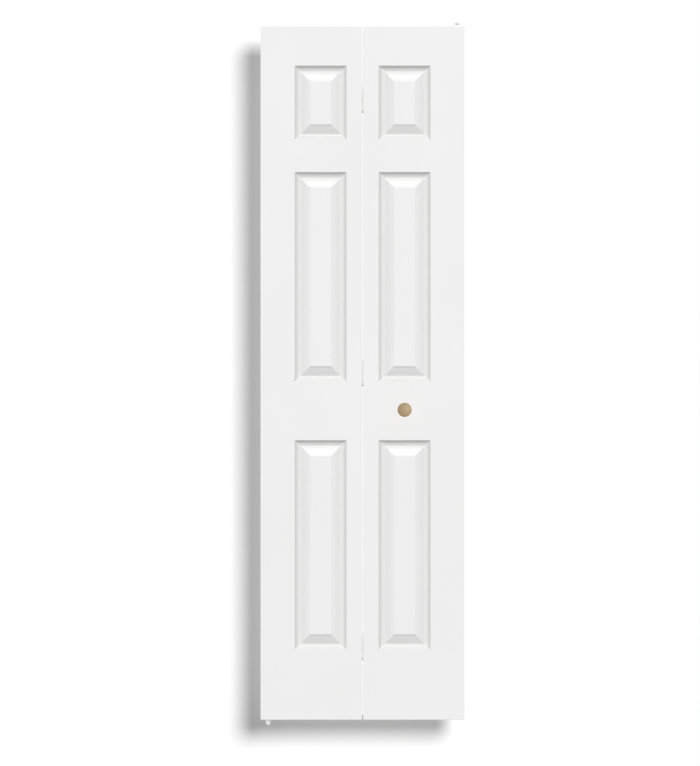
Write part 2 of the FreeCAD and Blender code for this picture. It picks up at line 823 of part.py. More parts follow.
def coil_spring(name, across):
    """Wind the spring between the sleeve's floor and the pin's collar."""
    helix = doc.addObject("Part::Helix", f"{name}_path")
    helix.setExpression("Radius", cells("spring_radius"))
    helix.setExpression("Height", cells("spring_top - spring_foot - 2 * spring_wire"))
    helix.setExpression("Pitch", cells("(spring_top - spring_foot - 2 * spring_wire) / spring_turns"))
    helix.setExpression(".Placement.Base.x", cells(across))
    helix.setExpression(".Placement.Base.z", cells("leaf_lift + spring_foot + spring_wire"))
    ring = doc.addObject("Part::Circle", f"{name}_section")
    ring.setExpression("Radius", cells("spring_wire"))
    ring.Placement = Placement(Vector(), Rotation(Vector(1, 0, 0), 90))
    ring.setExpression(".Placement.Base.x", cells(f"{across} + spring_radius"))
    ring.setExpression(".Placement.Base.z", cells("leaf_lift + spring_foot + spring_wire"))
    doc.recompute()
    coil = doc.addObject("Part::Sweep", name)
    coil.Label = name
    coil.Sections = [ring]
    coil.Spine = (helix, [f"Edge{number}" for number in range(1, len(helix.Shape.Edges) + 1)])
    coil.Solid = True
    coil.Frenet = True
    doc.recompute()
    return coil


def pin_foot():
    """Lower half outline shared by both sprung pins, up to the plug."""
    tail = "spring_top - pin_tail_length"
    return [
        ("0", tail),
        ("pin_tail_radius", tail),
        ("pin_tail_radius", "spring_top"),
        ("pin_collar_radius", "spring_top"),
        ("pin_collar_radius", "pin_stop"),
        ("top_pin_radius", "pin_stop"),
    ]


def top_pivot():
    """Build the sprung pivot at the top of the pivot leaf."""
    sprung_seat("top_pivot", "0 * pivot_inset")
    crown = "leaf_height + top_pin_reach"
    turned("top_pivot_pin", pin_foot() + [
        ("top_pin_radius", "leaf_height + top_pin_rise"),
        ("top_pin_tip", "leaf_height + top_pin_rise"),
        ("top_pin_tip", f"{crown} - pin_chamfer"),
        ("top_pin_tip - pin_chamfer", crown),
        ("0", crown),
    ], up="leaf_lift")


def top_guide():
    """Build the sprung guide pin with its roller at the top of the guide leaf."""
    across = "guide_edge - pivot_inset"
    place = {"across": across, "up": "leaf_lift"}
    sprung_seat("top_guide", across)
    turned("top_guide_pin", pin_foot() + [
        ("top_pin_radius", "roller_foot - roller_play"),
        ("neck_radius", "roller_foot - roller_play"),
        ("neck_radius", "roller_top + clip_height"),
        ("0", "roller_top + clip_height"),
    ], **place)
    bore = "neck_radius + running_fit"
    high = "roller_foot + roller_height"
    turned("guide_roller", [
        (bore, "roller_foot"),
        ("roller_radius - roller_chamfer", "roller_foot"),
        ("roller_radius", "roller_foot + roller_chamfer"),
        ("roller_radius", f"{high} - roller_chamfer"),
        ("roller_radius - roller_chamfer", high),
        (bore, high),
    ], **place)
    turned("roller_clip", [
        (bore, "roller_top"),
        ("clip_radius", "roller_top"),
        ("clip_radius", "roller_top + clip_height"),
        (bore, "roller_top + clip_height"),
    ], **place)


# Build and write

def check_objects():
    """Stop if any object of the document failed to build."""
    for item in doc.Objects:
        if any(word in item.State for word in ("Invalid", "Error")):
            raise RuntimeError(f"{item.Label} failed: {item.State}")


def sub_parts():
    """Return the objects that are pieces of the door, in the order they were made."""
    kinds = ("PartDesign::Body", "Part::Sweep", "Part::Feature")
    return [item for item in doc.Objects if item.TypeId in kinds]


def write_parts():
    """Check each piece and write it to its own file."""
    os.makedirs("parts", exist_ok=True)
    for item in sub_parts():
        if item.Shape.isNull() or not item.Shape.isValid() or not item.Shape.Solids:
            raise RuntimeError(f"{item.Label} has no valid solid")
    for item in sub_parts():
        item.Shape.exportStep(os.path.join("parts", f"{item.Label}.step"))
        print(f"{item.Label}: {len(item.Shape.Solids)} solid(s), "
              f"{item.Shape.Volume / 1000:.1f} cubic centimetres")


fill_sheet()
hollow_leaf(PIVOT_LEAF, "jamb_stile", (False, True))
hollow_leaf(GUIDE_LEAF, "lead_stile", (True,))
fold_hinges()
knob_parts()
bottom_pivot()
top_pivot()
top_guide()
doc.recompute()
check_objects()
write_parts()
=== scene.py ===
"""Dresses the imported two-leaf closet door and sets it in a plain studio.

Lengths are in metres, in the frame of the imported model: X runs along the closed door to the
viewer's right, Y away from the viewer and Z up, from the shoulder of the bottom pivot pin.
"""

import json
import logging
import math
from abc import ABC, abstractmethod
from collections.abc import Callable, Iterable, Sequence
from dataclasses import dataclass, field
from enum import Enum
from typing import Any

import bmesh
import bpy
from bmesh.types import BMEdge, BMesh, BMVert
from mathutils import Matrix, Vector

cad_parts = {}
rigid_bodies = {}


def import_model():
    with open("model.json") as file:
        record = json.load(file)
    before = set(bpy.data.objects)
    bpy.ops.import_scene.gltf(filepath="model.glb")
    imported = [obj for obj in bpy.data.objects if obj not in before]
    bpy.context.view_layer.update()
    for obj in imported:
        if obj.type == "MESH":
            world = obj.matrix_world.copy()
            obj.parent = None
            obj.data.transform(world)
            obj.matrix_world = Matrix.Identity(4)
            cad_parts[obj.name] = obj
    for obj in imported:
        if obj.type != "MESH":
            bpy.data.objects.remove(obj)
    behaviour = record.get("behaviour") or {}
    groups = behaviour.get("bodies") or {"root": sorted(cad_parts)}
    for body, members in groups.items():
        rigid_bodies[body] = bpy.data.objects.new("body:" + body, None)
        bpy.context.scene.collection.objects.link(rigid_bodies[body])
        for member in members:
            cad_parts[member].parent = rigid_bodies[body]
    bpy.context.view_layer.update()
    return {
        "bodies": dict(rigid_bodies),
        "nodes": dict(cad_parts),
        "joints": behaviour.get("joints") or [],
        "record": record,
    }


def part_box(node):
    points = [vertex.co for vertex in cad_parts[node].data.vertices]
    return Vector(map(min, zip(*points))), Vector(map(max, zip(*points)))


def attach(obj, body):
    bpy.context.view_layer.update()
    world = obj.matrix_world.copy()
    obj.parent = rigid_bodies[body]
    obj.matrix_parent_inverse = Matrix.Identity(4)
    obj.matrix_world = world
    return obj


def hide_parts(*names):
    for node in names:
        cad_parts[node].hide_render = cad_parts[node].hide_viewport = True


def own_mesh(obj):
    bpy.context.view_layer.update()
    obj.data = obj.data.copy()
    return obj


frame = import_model()
LOG = logging.getLogger("closet_door")
Number = float | int
Point = tuple[float, float]
Colour = Triple = tuple[float, float, float]

# Measures that several pieces share, and how near two measures count as the same
LEFT_EDGE, RIGHT_EDGE = -0.022, 0.5686
HALF_THICKNESS = 0.01745
LEAF_HEIGHT = 2.0066
LIFT = 0.0075
KNOB_CENTRE = (0.39475, 0.9045)
UPRIGHT = Matrix.Rotation(math.pi / 2, 4, "X")
TOUCH = 0.00001


# Shader arithmetic

def operator(operation: str, swapped: bool = False) -> Callable[..., "Signal"]:
    """Make one of a signal's arithmetic methods.

    Args:
        operation: The Math node's operation.
        swapped: Whether the signal is the second of its two values.

    Returns:
        The method.
    """
    def method(self: "Signal", other: "Signal | Number" = 0.0) -> "Signal":
        """Add the Math node and return its result."""
        first, second = (other, self) if swapped else (self, other)
        return self.tree.node("ShaderNodeMath", {"operation": operation}, {0: first, 1: second})

    return method


class Signal:
    """A socket of a shader tree that takes part in plain arithmetic."""

    __add__, __radd__ = operator("ADD"), operator("ADD", swapped=True)
    __sub__, __rsub__ = operator("SUBTRACT"), operator("SUBTRACT", swapped=True)
    __mul__, __rmul__ = operator("MULTIPLY"), operator("MULTIPLY", swapped=True)
    __pow__, __abs__ = operator("POWER"), operator("ABSOLUTE")
    above, larger, sine = operator("GREATER_THAN"), operator("MAXIMUM"), operator("SINE")

    def __init__(self, tree: "ShaderTree", socket: bpy.types.NodeSocket) -> None:
        """Wrap one socket of a tree."""
        self.tree, self.socket = tree, socket

    def eased(self, low: Number, high: Number) -> "Signal":
        """Return a smooth rise from 0, where the signal is low, to 1, where it is high."""
        return self.tree.node("ShaderNodeMapRange", {"interpolation_type": "SMOOTHSTEP"},
                              {0: self, 1: low, 2: high, 3: 0.0, 4: 1.0})


class ShaderTree:
    """The node tree of a material or world, and the few ways in which its nodes are made."""

    def __init__(self, name: str, kind: str = "materials") -> None:
        """Start an empty tree.

        Args:
            name: Name of the new material or world.
            kind: Which of the two stores it is made in.
        """
        self.owner = getattr(bpy.data, kind).new(name)
        self.owner.use_nodes = True
        self.tree = self.owner.node_tree
        self.tree.nodes.clear()

    def node(self, kind: str, settings: dict[str, Any] | None = None,
             inputs: dict[str | int, Any] | None = None, output: str | int = 0) -> Signal:
        """Make one node.

        Args:
            kind: The node's type name.
            settings: Properties to set first.
            inputs: Value or Signal of each socket that isn't left alone.
            output: The output that is returned.

        Returns:
            The chosen output, or the first input of a node without outputs.
        """
        made = self.tree.nodes.new(kind)
        for key, value in (settings or {}).items():
            setattr(made, key, value)
        for key, value in (inputs or {}).items():
            if isinstance(value, Signal):
                self.tree.links.new(value.socket, made.inputs[key])
            else:
                made.inputs[key].default_value = value
        return Signal(self, made.outputs[output] if made.outputs else made.inputs[0])

    def place(self) -> Signal:
        """Return the surface point in the door's frame."""
        return self.node("ShaderNodeTexCoord", output="Object")

    def facing(self) -> Signal:
        """Return the direction in which the surface faces, in the door's frame."""
        return self.node("ShaderNodeTexCoord", output="Normal")

    def parts(self, vector: Signal) -> tuple[Signal, ...]:
        """Return a vector's three parts."""
        split = self.node("ShaderNodeSeparateXYZ", inputs={0: vector})
        return tuple(Signal(self, socket) for socket in split.socket.node.outputs)

    def stretched(self, vector: Signal, scale: Triple,
                  turn: Triple = (0.0, 0.0, 0.0), shift: Triple = (0.0, 0.0, 0.0)) -> Signal:
        """Return a pattern's coordinates, scaled, turned by radians and shifted."""
        return self.node("ShaderNodeMapping", inputs={
            "Vector": vector, "Location": shift, "Rotation": turn, "Scale": scale})

    def noise(self, vector: Signal, scale: float, detail: float = 3.0,
              roughness: float = 0.5, distortion: float = 0.0) -> Signal:
        """Return cloudy noise, about 0.5 on average, its scale in features per metre."""
        return self.node("ShaderNodeTexNoise", inputs={
            "Vector": vector, "Scale": scale, "Detail": detail,
            "Roughness": roughness, "Distortion": distortion})

    def blend(self, share: Signal, low: "Signal | Colour", high: "Signal | Colour") -> Signal:
        """Return a mix of two colours, where a share of 0 gives low and 1 gives high."""
        ends = [end if isinstance(end, Signal) else (*end, 1.0) for end in (low, high)]
        return self.node("ShaderNodeMix", {"data_type": "RGBA"},
                         {0: share, 6: ends[0], 7: ends[1]}, output=2)

    def relief(self, height: Signal, depth: float) -> Signal:
        """Return the bumped normal, where a height of 1 stands for a depth in metres."""
        return self.node("ShaderNodeBump", inputs={
            "Strength": 1.0, "Distance": depth, "Height": height})

    def finish(self, **sockets: Any) -> bpy.types.Material:
        """Close the tree with a Principled shader.

        Args:
            **sockets: The shader's sockets, spaces written as underscores.

        Returns:
            The finished material.
        """
        named = {key.replace("_", " "): value for key, value in sockets.items()}
        shader = self.node("ShaderNodeBsdfPrincipled", inputs=named)
        self.node("ShaderNodeOutputMaterial", inputs={"Surface": shader})
        return self.owner


# Finishes

class Finish(ABC):
    """A surface finish that can be asked for its material."""

    made: dict["Finish", bpy.types.Material] = {}

    def material(self) -> bpy.types.Material:
        """Return the finish's one material, made when it is first asked for."""
        if self not in Finish.made:
            Finish.made[self] = self.paint()
        return Finish.made[self]

    @abstractmethod
    def paint(self) -> bpy.types.Material:
        """Make the material."""


@dataclass(frozen=True)
class PrimedFibre(Finish):
    """White primer on a pressed fibre skin, with painted shade in the grooves, on the sloping lips,
    on the deep up-facing ledges and beside the crests, and brown cut ends.
    """

    white: Colour = (0.862, 0.862, 0.862)
    shade: Colour = (0.846, 0.846, 0.844)
    # Painted shade: the next three greys are painted where shade falls, in the grooves, on the
    # sloping lips and on the deep up-facing ledges.
    groove_shade: Colour = (0.765, 0.765, 0.763)
    lip_shade: Colour = (0.738, 0.738, 0.734)
    ledge_shade: Colour = (0.670, 0.668, 0.662)
    fibre: Colour = (0.225, 0.140, 0.078)
    frayed: Colour = (0.400, 0.280, 0.170)
    stipple: float = 0.000012
    cut_band: float = 0.00025

    def paint(self) -> bpy.types.Material:
        """Make the material."""
        tree = ShaderTree("white_primer_on_fibre")
        place = tree.place()
        cloud = tree.noise(place, 2.6, 3.0)
        spray = tree.noise(place, 620.0, 2.0, 0.45)
        fleck = tree.noise(place, 1900.0, 2.0)
        _, back, height = tree.parts(place)
        depth = HALF_THICKNESS - abs(back)
        cut_end = (self.cut_band - (height - LIFT)).above(0.0).larger(
            (height - (LIFT + LEAF_HEIGHT - self.cut_band)).above(0.0))
        _, out, up = tree.parts(tree.facing())
        # Painted shade: the sloping lips, and the down-facing brows just under the crests, are
        # darkened.
        lip_shade_share = (1.0 - abs(out)).eased(0.10, 0.28) * depth.above(0.0002)
        under_brow_shade_share = (0.0 - up).eased(0.12, 0.30) * (1.0 - depth.eased(0.0008, 0.0030))
        lip_shade_share = lip_shade_share.larger(under_brow_shade_share * depth.above(0.0001))
        # Painted shade: the deep up-facing ledges of the grooves are darkened further.
        ledge_shade_share = up.eased(0.02, 0.24) * depth.eased(0.0060, 0.0088)
        white = tree.blend(cloud.eased(0.38, 0.66), self.shade, self.white)
        # Painted shade: the deep grooves, and the up-facing brows just over the crests, are
        # darkened.
        over_brow_shade_share = up.eased(0.12, 0.30) * (1.0 - depth.eased(0.0006, 0.0044)) * depth.above(0.0001)
        white = tree.blend(depth.eased(0.0010, 0.0095).larger(over_brow_shade_share), white, self.groove_shade)
        white = tree.blend(ledge_shade_share, tree.blend(lip_shade_share, white, self.lip_shade), self.ledge_shade)
        ragged = tree.blend(fleck, self.fibre, self.frayed)
        return tree.finish(
            Base_Color=tree.blend(cut_end, white, ragged),
            Roughness=0.40 + 0.10 * tree.noise(place, 9.0) + 0.35 * cut_end,
            Normal=tree.relief(spray + 0.25 * fleck, self.stipple))


@dataclass(frozen=True)
class FrameWood(Finish):
    """Sawn softwood, white only where it forms a leaf's long edge."""

    pale: Colour = (0.640, 0.455, 0.270)
    dark: Colour = (0.420, 0.250, 0.118)
    white: Colour = (0.855, 0.855, 0.853)
    upright: bool = True
    edges: tuple[float, ...] = (LEFT_EDGE, 0.2717, 0.2749, RIGHT_EDGE)

    def paint(self) -> bpy.types.Material:
        """Make the material."""
        tree = ShaderTree("frame_wood_upright" if self.upright else "frame_wood_level")
        place = tree.place()
        turn = (0.0, 0.0, 0.0) if self.upright else (0.0, math.pi / 2, 0.0)
        log = tree.stretched(place, (1.0, 1.0, 1.0), turn, (0.04, 0.11, 0.0))
        slow = tree.noise(tree.stretched(log, (1.0, 1.0, 0.12)), 7.0, 2.0)
        across, back, _ = tree.parts(log)
        ring = (across * across + back * back) ** 0.5
        wave = ((ring + 0.012 * slow) * 1350.0).sine() * 0.5 + 0.5
        late = wave ** 3
        fibre = tree.noise(tree.stretched(log, (1.0, 1.0, 0.03)), 900.0, 3.0)
        wood = tree.blend(0.72 * late + 0.45 * (fibre - 0.5) + 0.05, self.pale, self.dark)
        side = tree.parts(place)[0]
        painted = None
        for edge in self.edges:
            on_edge = 1.0 - abs(side - edge).above(0.00012)
            painted = on_edge if painted is None else painted.larger(on_edge)
        return tree.finish(
            Base_Color=tree.blend(painted, wood, self.white),
            Roughness=0.72 - 0.27 * painted + 0.12 * (fibre - 0.5),
            Normal=tree.relief(fibre + 0.4 * late, 0.00004))


@dataclass(frozen=True)
class CorePaper(Finish):
    """Brown fluted paper of the filling."""

    light: Colour = (0.430, 0.285, 0.160)
    dark: Colour = (0.290, 0.180, 0.095)

    def paint(self) -> bpy.types.Material:
        """Make the material."""
        tree = ShaderTree("brown_core_paper")
        place = tree.place()
        pulp = tree.noise(place, 450.0, 4.0, 0.6)
        hair = tree.noise(tree.stretched(place, (1.0, 1.0, 0.2)), 2200.0, 2.0)
        return tree.finish(
            Base_Color=tree.blend(0.6 * pulp + 0.4 * hair, self.dark, self.light),
            Roughness=0.85 + 0.1 * (pulp - 0.5),
            Normal=tree.relief(pulp + hair, 0.00006))


@dataclass(frozen=True)
class Plating(Finish):
    """Bright zinc over steel, with the fine lines of rolling or drawing."""

    name: str
    bright: Colour = (0.760, 0.765, 0.770)
    dull: Colour = (0.560, 0.565, 0.560)
    gloss: float = 0.30
    lines: Triple = (1.0, 1.0, 0.06)

    def paint(self) -> bpy.types.Material:
        """Make the material."""
        tree = ShaderTree(self.name)
        place = tree.place()
        bloom = tree.noise(place, 120.0, 4.0, 0.6)
        drawn = tree.noise(tree.stretched(place, self.lines), 3200.0, 2.0)
        stain = bloom.eased(0.46, 0.72)
        return tree.finish(
            Base_Color=tree.blend(0.65 * stain + 0.35 * (1.0 - drawn), self.bright, self.dull),
            Metallic=1.0,
            Roughness=self.gloss + 0.16 * stain + 0.10 * (drawn - 0.5),
            Normal=tree.relief(drawn + 0.5 * bloom, 0.000012))


@dataclass(frozen=True)
class CoatedSteel(Finish):
    """White satin coat over steel, with a faint orange-peel and duller, rubbed patches."""

    white: Colour = (0.870, 0.870, 0.865)
    rubbed: Colour = (0.790, 0.790, 0.785)

    def paint(self) -> bpy.types.Material:
        """Make the material."""
        tree = ShaderTree("white_coated_steel")
        place = tree.place()
        peel = tree.noise(place, 900.0, 2.0)
        wear = tree.noise(place, 160.0, 4.0, 0.6).eased(0.52, 0.74)
        return tree.finish(
            Base_Color=tree.blend(wear, self.white, self.rubbed),
            Roughness=0.32 + 0.18 * wear,
            Normal=tree.relief(peel, 0.000020))


@dataclass(frozen=True)
class MouldedNylon(Finish):
    """Milky white nylon with faint flow marks."""

    milk: Colour = (0.800, 0.795, 0.765)
    warm: Colour = (0.735, 0.720, 0.670)

    def paint(self) -> bpy.types.Material:
        """Make the material."""
        tree = ShaderTree("milky_nylon")
        place = tree.place()
        flow = tree.noise(tree.stretched(place, (1.0, 1.0, 0.35)), 260.0, 3.0, 0.55, 0.8)
        grit = tree.noise(place, 5200.0, 2.0)
        return tree.finish(
            Base_Color=tree.blend(flow.eased(0.35, 0.75), self.milk, self.warm),
            Roughness=0.34 + 0.14 * flow,
            Subsurface_Weight=0.08,
            Subsurface_Radius=(0.002, 0.0018, 0.0015),
            Normal=tree.relief(grit + flow, 0.000010))


@dataclass(frozen=True)
class TurnedWood(Finish):
    """Pale hardwood turned on the lathe, under clear satin lacquer."""

    pale: Colour = (0.530, 0.395, 0.232)
    dark: Colour = (0.360, 0.250, 0.138)
    pith: Point = (0.034, 0.018)

    def paint(self) -> bpy.types.Material:
        """Make the material."""
        tree = ShaderTree("lacquered_hardwood")
        here = tree.stretched(tree.place(), (1.0, 1.0, 1.0), shift=(
            self.pith[0] - KNOB_CENTRE[0], 0.0, self.pith[1] - KNOB_CENTRE[1]))
        sway = tree.noise(tree.stretched(here, (1.0, 0.25, 1.0)), 55.0, 2.0)
        across, _, up = tree.parts(here)
        ring = (across * across + up * up) ** 0.5
        band = ((ring + 0.006 * sway) * 2100.0).sine() * 0.5 + 0.5
        pore = tree.noise(tree.stretched(here, (1.0, 0.06, 1.0)), 2600.0, 3.0, 0.6)
        cloud = tree.noise(here, 70.0, 2.0)
        grain = 0.42 * band * band + 0.35 * pore + 0.30 * cloud - 0.10
        return tree.finish(
            Base_Color=tree.blend(grain, self.pale, self.dark),
            Roughness=0.50 + 0.12 * pore,
            Coat_Weight=0.10, Coat_Roughness=0.40,
            Normal=tree.relief(0.6 * pore + 0.4 * band, 0.000015))


WASHER_ZINC = Plating("washer_zinc", lines=(1.0, 1.0, 1.0))
SCREW_ZINC = Plating("screw_zinc", gloss=0.26)
TURNED_ZINC = Plating("turned_zinc", gloss=0.27, lines=(0.3, 0.3, 1.0))


# Mesh work


def corners_of(mesh: BMesh) -> list[Any]:
    """Return every vertex, edge and face, as the operators want them."""
    return [*mesh.verts, *mesh.edges, *mesh.faces]


def moved(mesh: BMesh, matrix: Matrix) -> BMesh:
    """Transform a mesh and return it."""
    bmesh.ops.transform(mesh, verts=mesh.verts, matrix=matrix)
    return mesh


def flat(place: Matrix, size: Point) -> BMesh:
    """Make a flat sheet.

    Args:
        place: Its place; it faces its own +Z.
        size: Its width and length.

    Returns:
        The sheet.
    """
    mesh = bmesh.new()
    bmesh.ops.create_grid(mesh, x_segments=1, y_segments=1, size=0.5)
    return moved(mesh, place @ Matrix.Diagonal((*size, 1.0, 1.0)))


def block(size: Triple, centre: Triple = (0.0, 0.0, 0.0)) -> BMesh:
    """Make a block.

    Args:
        size: Lengths of its edges.
        centre: Its middle.

    Returns:
        The closed block.
    """
    mesh = bmesh.new()
    bmesh.ops.create_cube(mesh, size=1.0)
    return moved(mesh, Matrix.Translation(centre) @ Matrix.Diagonal((*size, 1.0)))


def stored(mesh: BMesh, name: str) -> bpy.types.Mesh:
    """Turn a working mesh into data.

    Args:
        mesh: The mesh, which is used up.
        name: The data's name.

    Returns:
        The data.
    """
    data = bpy.data.meshes.new(name)
    mesh.to_mesh(data)
    mesh.free()
    return data


def put(name: str, data: bpy.types.ID) -> bpy.types.Object:
    """Put some data into the scene.

    Args:
        name: The new object's name.
        data: Its mesh, lamp or camera.

    Returns:
        The object.
    """
    thing = bpy.data.objects.new(name, data)
    bpy.context.scene.collection.objects.link(thing)
    return thing


def tidied(mesh: BMesh, gap: float = 0.000002) -> BMesh:
    """Merge doubles and face a closed mesh outwards.

    Args:
        mesh: The mesh.
        gap: How near two vertices may lie before they are merged.

    Returns:
        The same mesh.
    """
    bmesh.ops.remove_doubles(mesh, verts=mesh.verts, dist=gap)
    bmesh.ops.dissolve_degenerate(mesh, edges=mesh.edges, dist=gap / 4)
    bmesh.ops.recalc_face_normals(mesh, faces=mesh.faces)
    return mesh


def softened(mesh: BMesh, edges: Iterable[BMEdge], width: float, steps: int = 3) -> BMesh:
    """Round some edges to a width, in a number of strips, and return the mesh."""
    bmesh.ops.bevel(mesh, geom=list(edges), offset=width, offset_type="OFFSET", segments=steps,
                    profile=0.5, affect="EDGES", material=-1, clamp_overlap=True)
    return mesh


def crisp(mesh: BMesh, angle: float = 35.0) -> BMesh:
    """Shade smooth, with edges steeper than an angle left sharp.

    Args:
        mesh: The mesh.
        angle: Smallest sharp angle in degrees.

    Returns:
        The same mesh.
    """
    limit = math.radians(angle)
    for face in mesh.faces:
        face.smooth = True
    for edge in mesh.edges:
        edge.smooth = len(edge.link_faces) == 2 and edge.calc_face_angle(0.0) < limit
    return mesh


class Lathe:
    """Draws half an outline, radius along X and height along Z, and turns it about Z."""

    def __init__(self, radius: float, height: float) -> None:
        """Start the outline.

        Args:
            radius: Radius of its first point.
            height: Height of its first point.
        """
        self.mesh = bmesh.new()
        self.end = self.mesh.verts.new((radius, 0.0, height))
        self.soft: list[tuple[BMVert, float]] = []

    def to(self, radius: float, height: float, soft: float = 0.0) -> "Lathe":
        """Draw a straight line.

        Args:
            radius: Radius of its end.
            height: Height of its end.
            soft: How far the corner there is rounded off.

        Returns:
            The lathe.
        """
        vert = self.mesh.verts.new((radius, 0.0, height))
        self.mesh.edges.new((self.end, vert))
        self.end = vert
        if soft:
            self.soft.append((vert, soft))
        return self

    def arc(self, radius: float, height: float, degrees: float, steps: int) -> "Lathe":
        """Draw an arc from the outline's end.

        Args:
            radius: Radius of the arc's centre.
            height: Height of the arc's centre.
            degrees: Its sweep, about the axis that points away from the viewer.
            steps: Number of straight pieces.

        Returns:
            The lathe.
        """
        swept = bmesh.ops.spin(
            self.mesh, geom=[self.end], cent=(radius, 0.0, height), axis=(0.0, 1.0, 0.0),
            angle=math.radians(degrees), steps=steps, use_merge=False)
        self.end = next(part for part in swept["geom_last"] if isinstance(part, BMVert))
        return self

    def turn(self, steps: int = 64) -> BMesh:
        """Round the marked corners and turn the outline a full turn.

        Args:
            steps: Number of facets round the piece.

        Returns:
            The closed mesh.
        """
        for vert, width in self.soft:
            bmesh.ops.bevel(self.mesh, geom=[vert], offset=width, offset_type="OFFSET",
                            segments=4, profile=0.5, affect="VERTICES", material=-1)
        bmesh.ops.spin(self.mesh, geom=corners_of(self.mesh), cent=(0.0, 0.0, 0.0),
                       axis=(0.0, 0.0, 1.0), angle=2 * math.pi, steps=steps, use_merge=True)
        tidied(self.mesh)
        on_axis = [edge for edge in self.mesh.edges if not edge.link_faces]
        bmesh.ops.delete(self.mesh, geom=on_axis, context="EDGES")
        return self.mesh


def carved(blank: BMesh, cutter: BMesh) -> BMesh:
    """Cut one closed mesh out of another.

    Args:
        blank: The mesh that is cut.
        cutter: The mesh that is taken away.

    Returns:
        The cut mesh.
    """
    objects = [put(name, stored(mesh, name))
               for name, mesh in (("blank", blank), ("cutter", cutter))]
    cut = objects[0].modifiers.new("cut", "BOOLEAN")
    cut.operation, cut.solver, cut.object = "DIFFERENCE", "EXACT", objects[1]
    graph = bpy.context.evaluated_depsgraph_get()
    result = bmesh.new()
    result.from_object(objects[0], graph)
    for thing in objects:
        data = thing.data
        bpy.data.objects.remove(thing)
        bpy.data.meshes.remove(data)
    return result


def joined(meshes: Iterable[BMesh]) -> BMesh:
    """Put several meshes into one.

    Args:
        meshes: The meshes, which are used up.

    Returns:
        The mesh of them all.
    """
    whole = bmesh.new()
    for mesh in meshes:
        data = stored(mesh, "part")
        whole.from_mesh(data)
        bpy.data.meshes.remove(data)
    return whole


def wound(mesh: BMesh, section: list[Any], turns: float, rise: float, facets: int) -> list[Any]:
    """Wind a section about Z.

    Args:
        mesh: The mesh that holds it.
        section: The section's face, or all its parts.
        turns: Number of turns.
        rise: How far one turn climbs.
        facets: Number of facets in one turn.

    Returns:
        The parts of the section at the other end.
    """
    steps = round(turns * facets)
    return bmesh.ops.spin(
        mesh, geom=section, cent=(0.0, 0.0, 0.0), axis=(0.0, 0.0, 1.0),
        dvec=(0.0, 0.0, rise / facets), angle=2 * math.pi * steps / facets, steps=steps,
        use_merge=False)["geom_last"]


# Pieces on the frame

class Workshop:
    """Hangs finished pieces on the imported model's bodies and dresses its own nodes."""

    def __init__(self, loaded: dict[str, Any]) -> None:
        """Note where each node of the loaded frame belongs."""
        groups = loaded["record"]["behaviour"]["bodies"]
        self.nodes = loaded["nodes"]
        self.home = {node: body for body, members in groups.items() for node in members}

    def hang(self, mesh: BMesh, name: str, finish: Finish,
             stands_for: str) -> bpy.types.Object:
        """Make a piece from a mesh in place of one node.

        Args:
            mesh: The finished mesh, which is used up.
            name: The piece's name.
            finish: The piece's finish.
            stands_for: The node that it takes the place of.

        Returns:
            The piece.
        """
        data = stored(mesh, name)
        data.materials.append(finish.material())
        piece = put(name, data)
        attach(piece, self.home[stands_for])
        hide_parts(stands_for)
        LOG.info("%s: %d faces, in place of %s", name, len(data.polygons), stands_for)
        return piece

    def dress(self, node: str, finish: Finish) -> None:
        """Give one of the model's own nodes its finish.

        Args:
            node: The node's name.
            finish: Its finish.
        """
        thing = self.nodes[node]
        for place in thing.material_slots:
            place.material = finish.material()
        if not thing.material_slots:
            thing.data.materials.append(finish.material())
        LOG.info("%s: dressed", node)


class Side(Enum):
    """The two faces of a leaf, by the sign of their Y."""

    FRONT = -1
    BACK = 1


@dataclass(frozen=True)
class Moulding:
    """Section of the panel moulding: run inwards across the face, and drop below it."""

    lip_run: float = 0.0048
    lip_drop: float = 0.0050
    groove_run: float = 0.0173
    groove_drop: float = 0.0100
    bevel_run: float = 0.0460
    bevel_radius: float = 0.500
    brow: float = 0.0008
    rise: float = 0.0030
    brow_steps: int = 4
    groove_steps: int = 10
    bevel_steps: int = 18
    crest_steps: int = 5

    def arc(self, start: Point, end: Point, radius: float, steps: int) -> list[Point]:
        """Points on a hollow arc between two points.

        Args:
            start: Where it starts, which isn't returned.
            end: Where it ends.
            radius: Its radius.
            steps: Number of points.

        Returns:
            The points after the start.
        """
        chord = Vector(end) - Vector(start)
        lift = math.sqrt(radius ** 2 - (chord.length / 2) ** 2)
        centre = (Vector(start) + Vector(end)) / 2 + Vector((chord.y, -chord.x)).normalized() * lift
        first, last = (Vector(point) - centre for point in (start, end))
        whole = first.angle_signed(last)
        return [tuple(centre + Matrix.Rotation(-whole * step / steps, 2) @ first)
                for step in range(1, steps + 1)]

    def outline(self) -> list[Point]:
        """Return the section's points from the opening's edge to the panel's field."""
        slope = math.atan2(self.lip_drop, self.lip_run)
        points: list[Point] = [(0.0, 0.0)]
        for step in range(1, self.brow_steps + 1):
            turn = slope * step / self.brow_steps
            points.append((self.brow * math.sin(turn), self.brow * (1 - math.cos(turn))))
        points.append((self.lip_run, self.lip_drop))
        width, fall = self.groove_run - self.lip_run, self.groove_drop - self.lip_drop
        points += self.arc(points[-1], (self.groove_run, self.groove_drop),
                           (width ** 2 + fall ** 2) / (2 * fall), self.groove_steps)
        chord = math.hypot(self.bevel_run - self.groove_run, self.groove_drop)
        crest = (math.atan2(self.groove_drop, self.bevel_run - self.groove_run)
                 + math.asin(chord / 2 / self.bevel_radius))
        run, drop = self.rise * math.sin(crest), self.rise * (1 - math.cos(crest))
        points += self.arc(points[-1], (self.bevel_run - run, drop), self.bevel_radius,
                           self.bevel_steps)
        for step in range(1, self.crest_steps + 1):
            turn = crest * (1 - step / self.crest_steps)
            points.append((self.bevel_run - self.rise * math.sin(turn),
                           self.rise * (1 - math.cos(turn))))
        return points

    def strips(self) -> list[Point]:
        """Return each strip of the section as its own run and drop."""
        points = self.outline()
        return [(after[0] - before[0], after[1] - before[1])
                for before, after in zip(points, points[1:])]


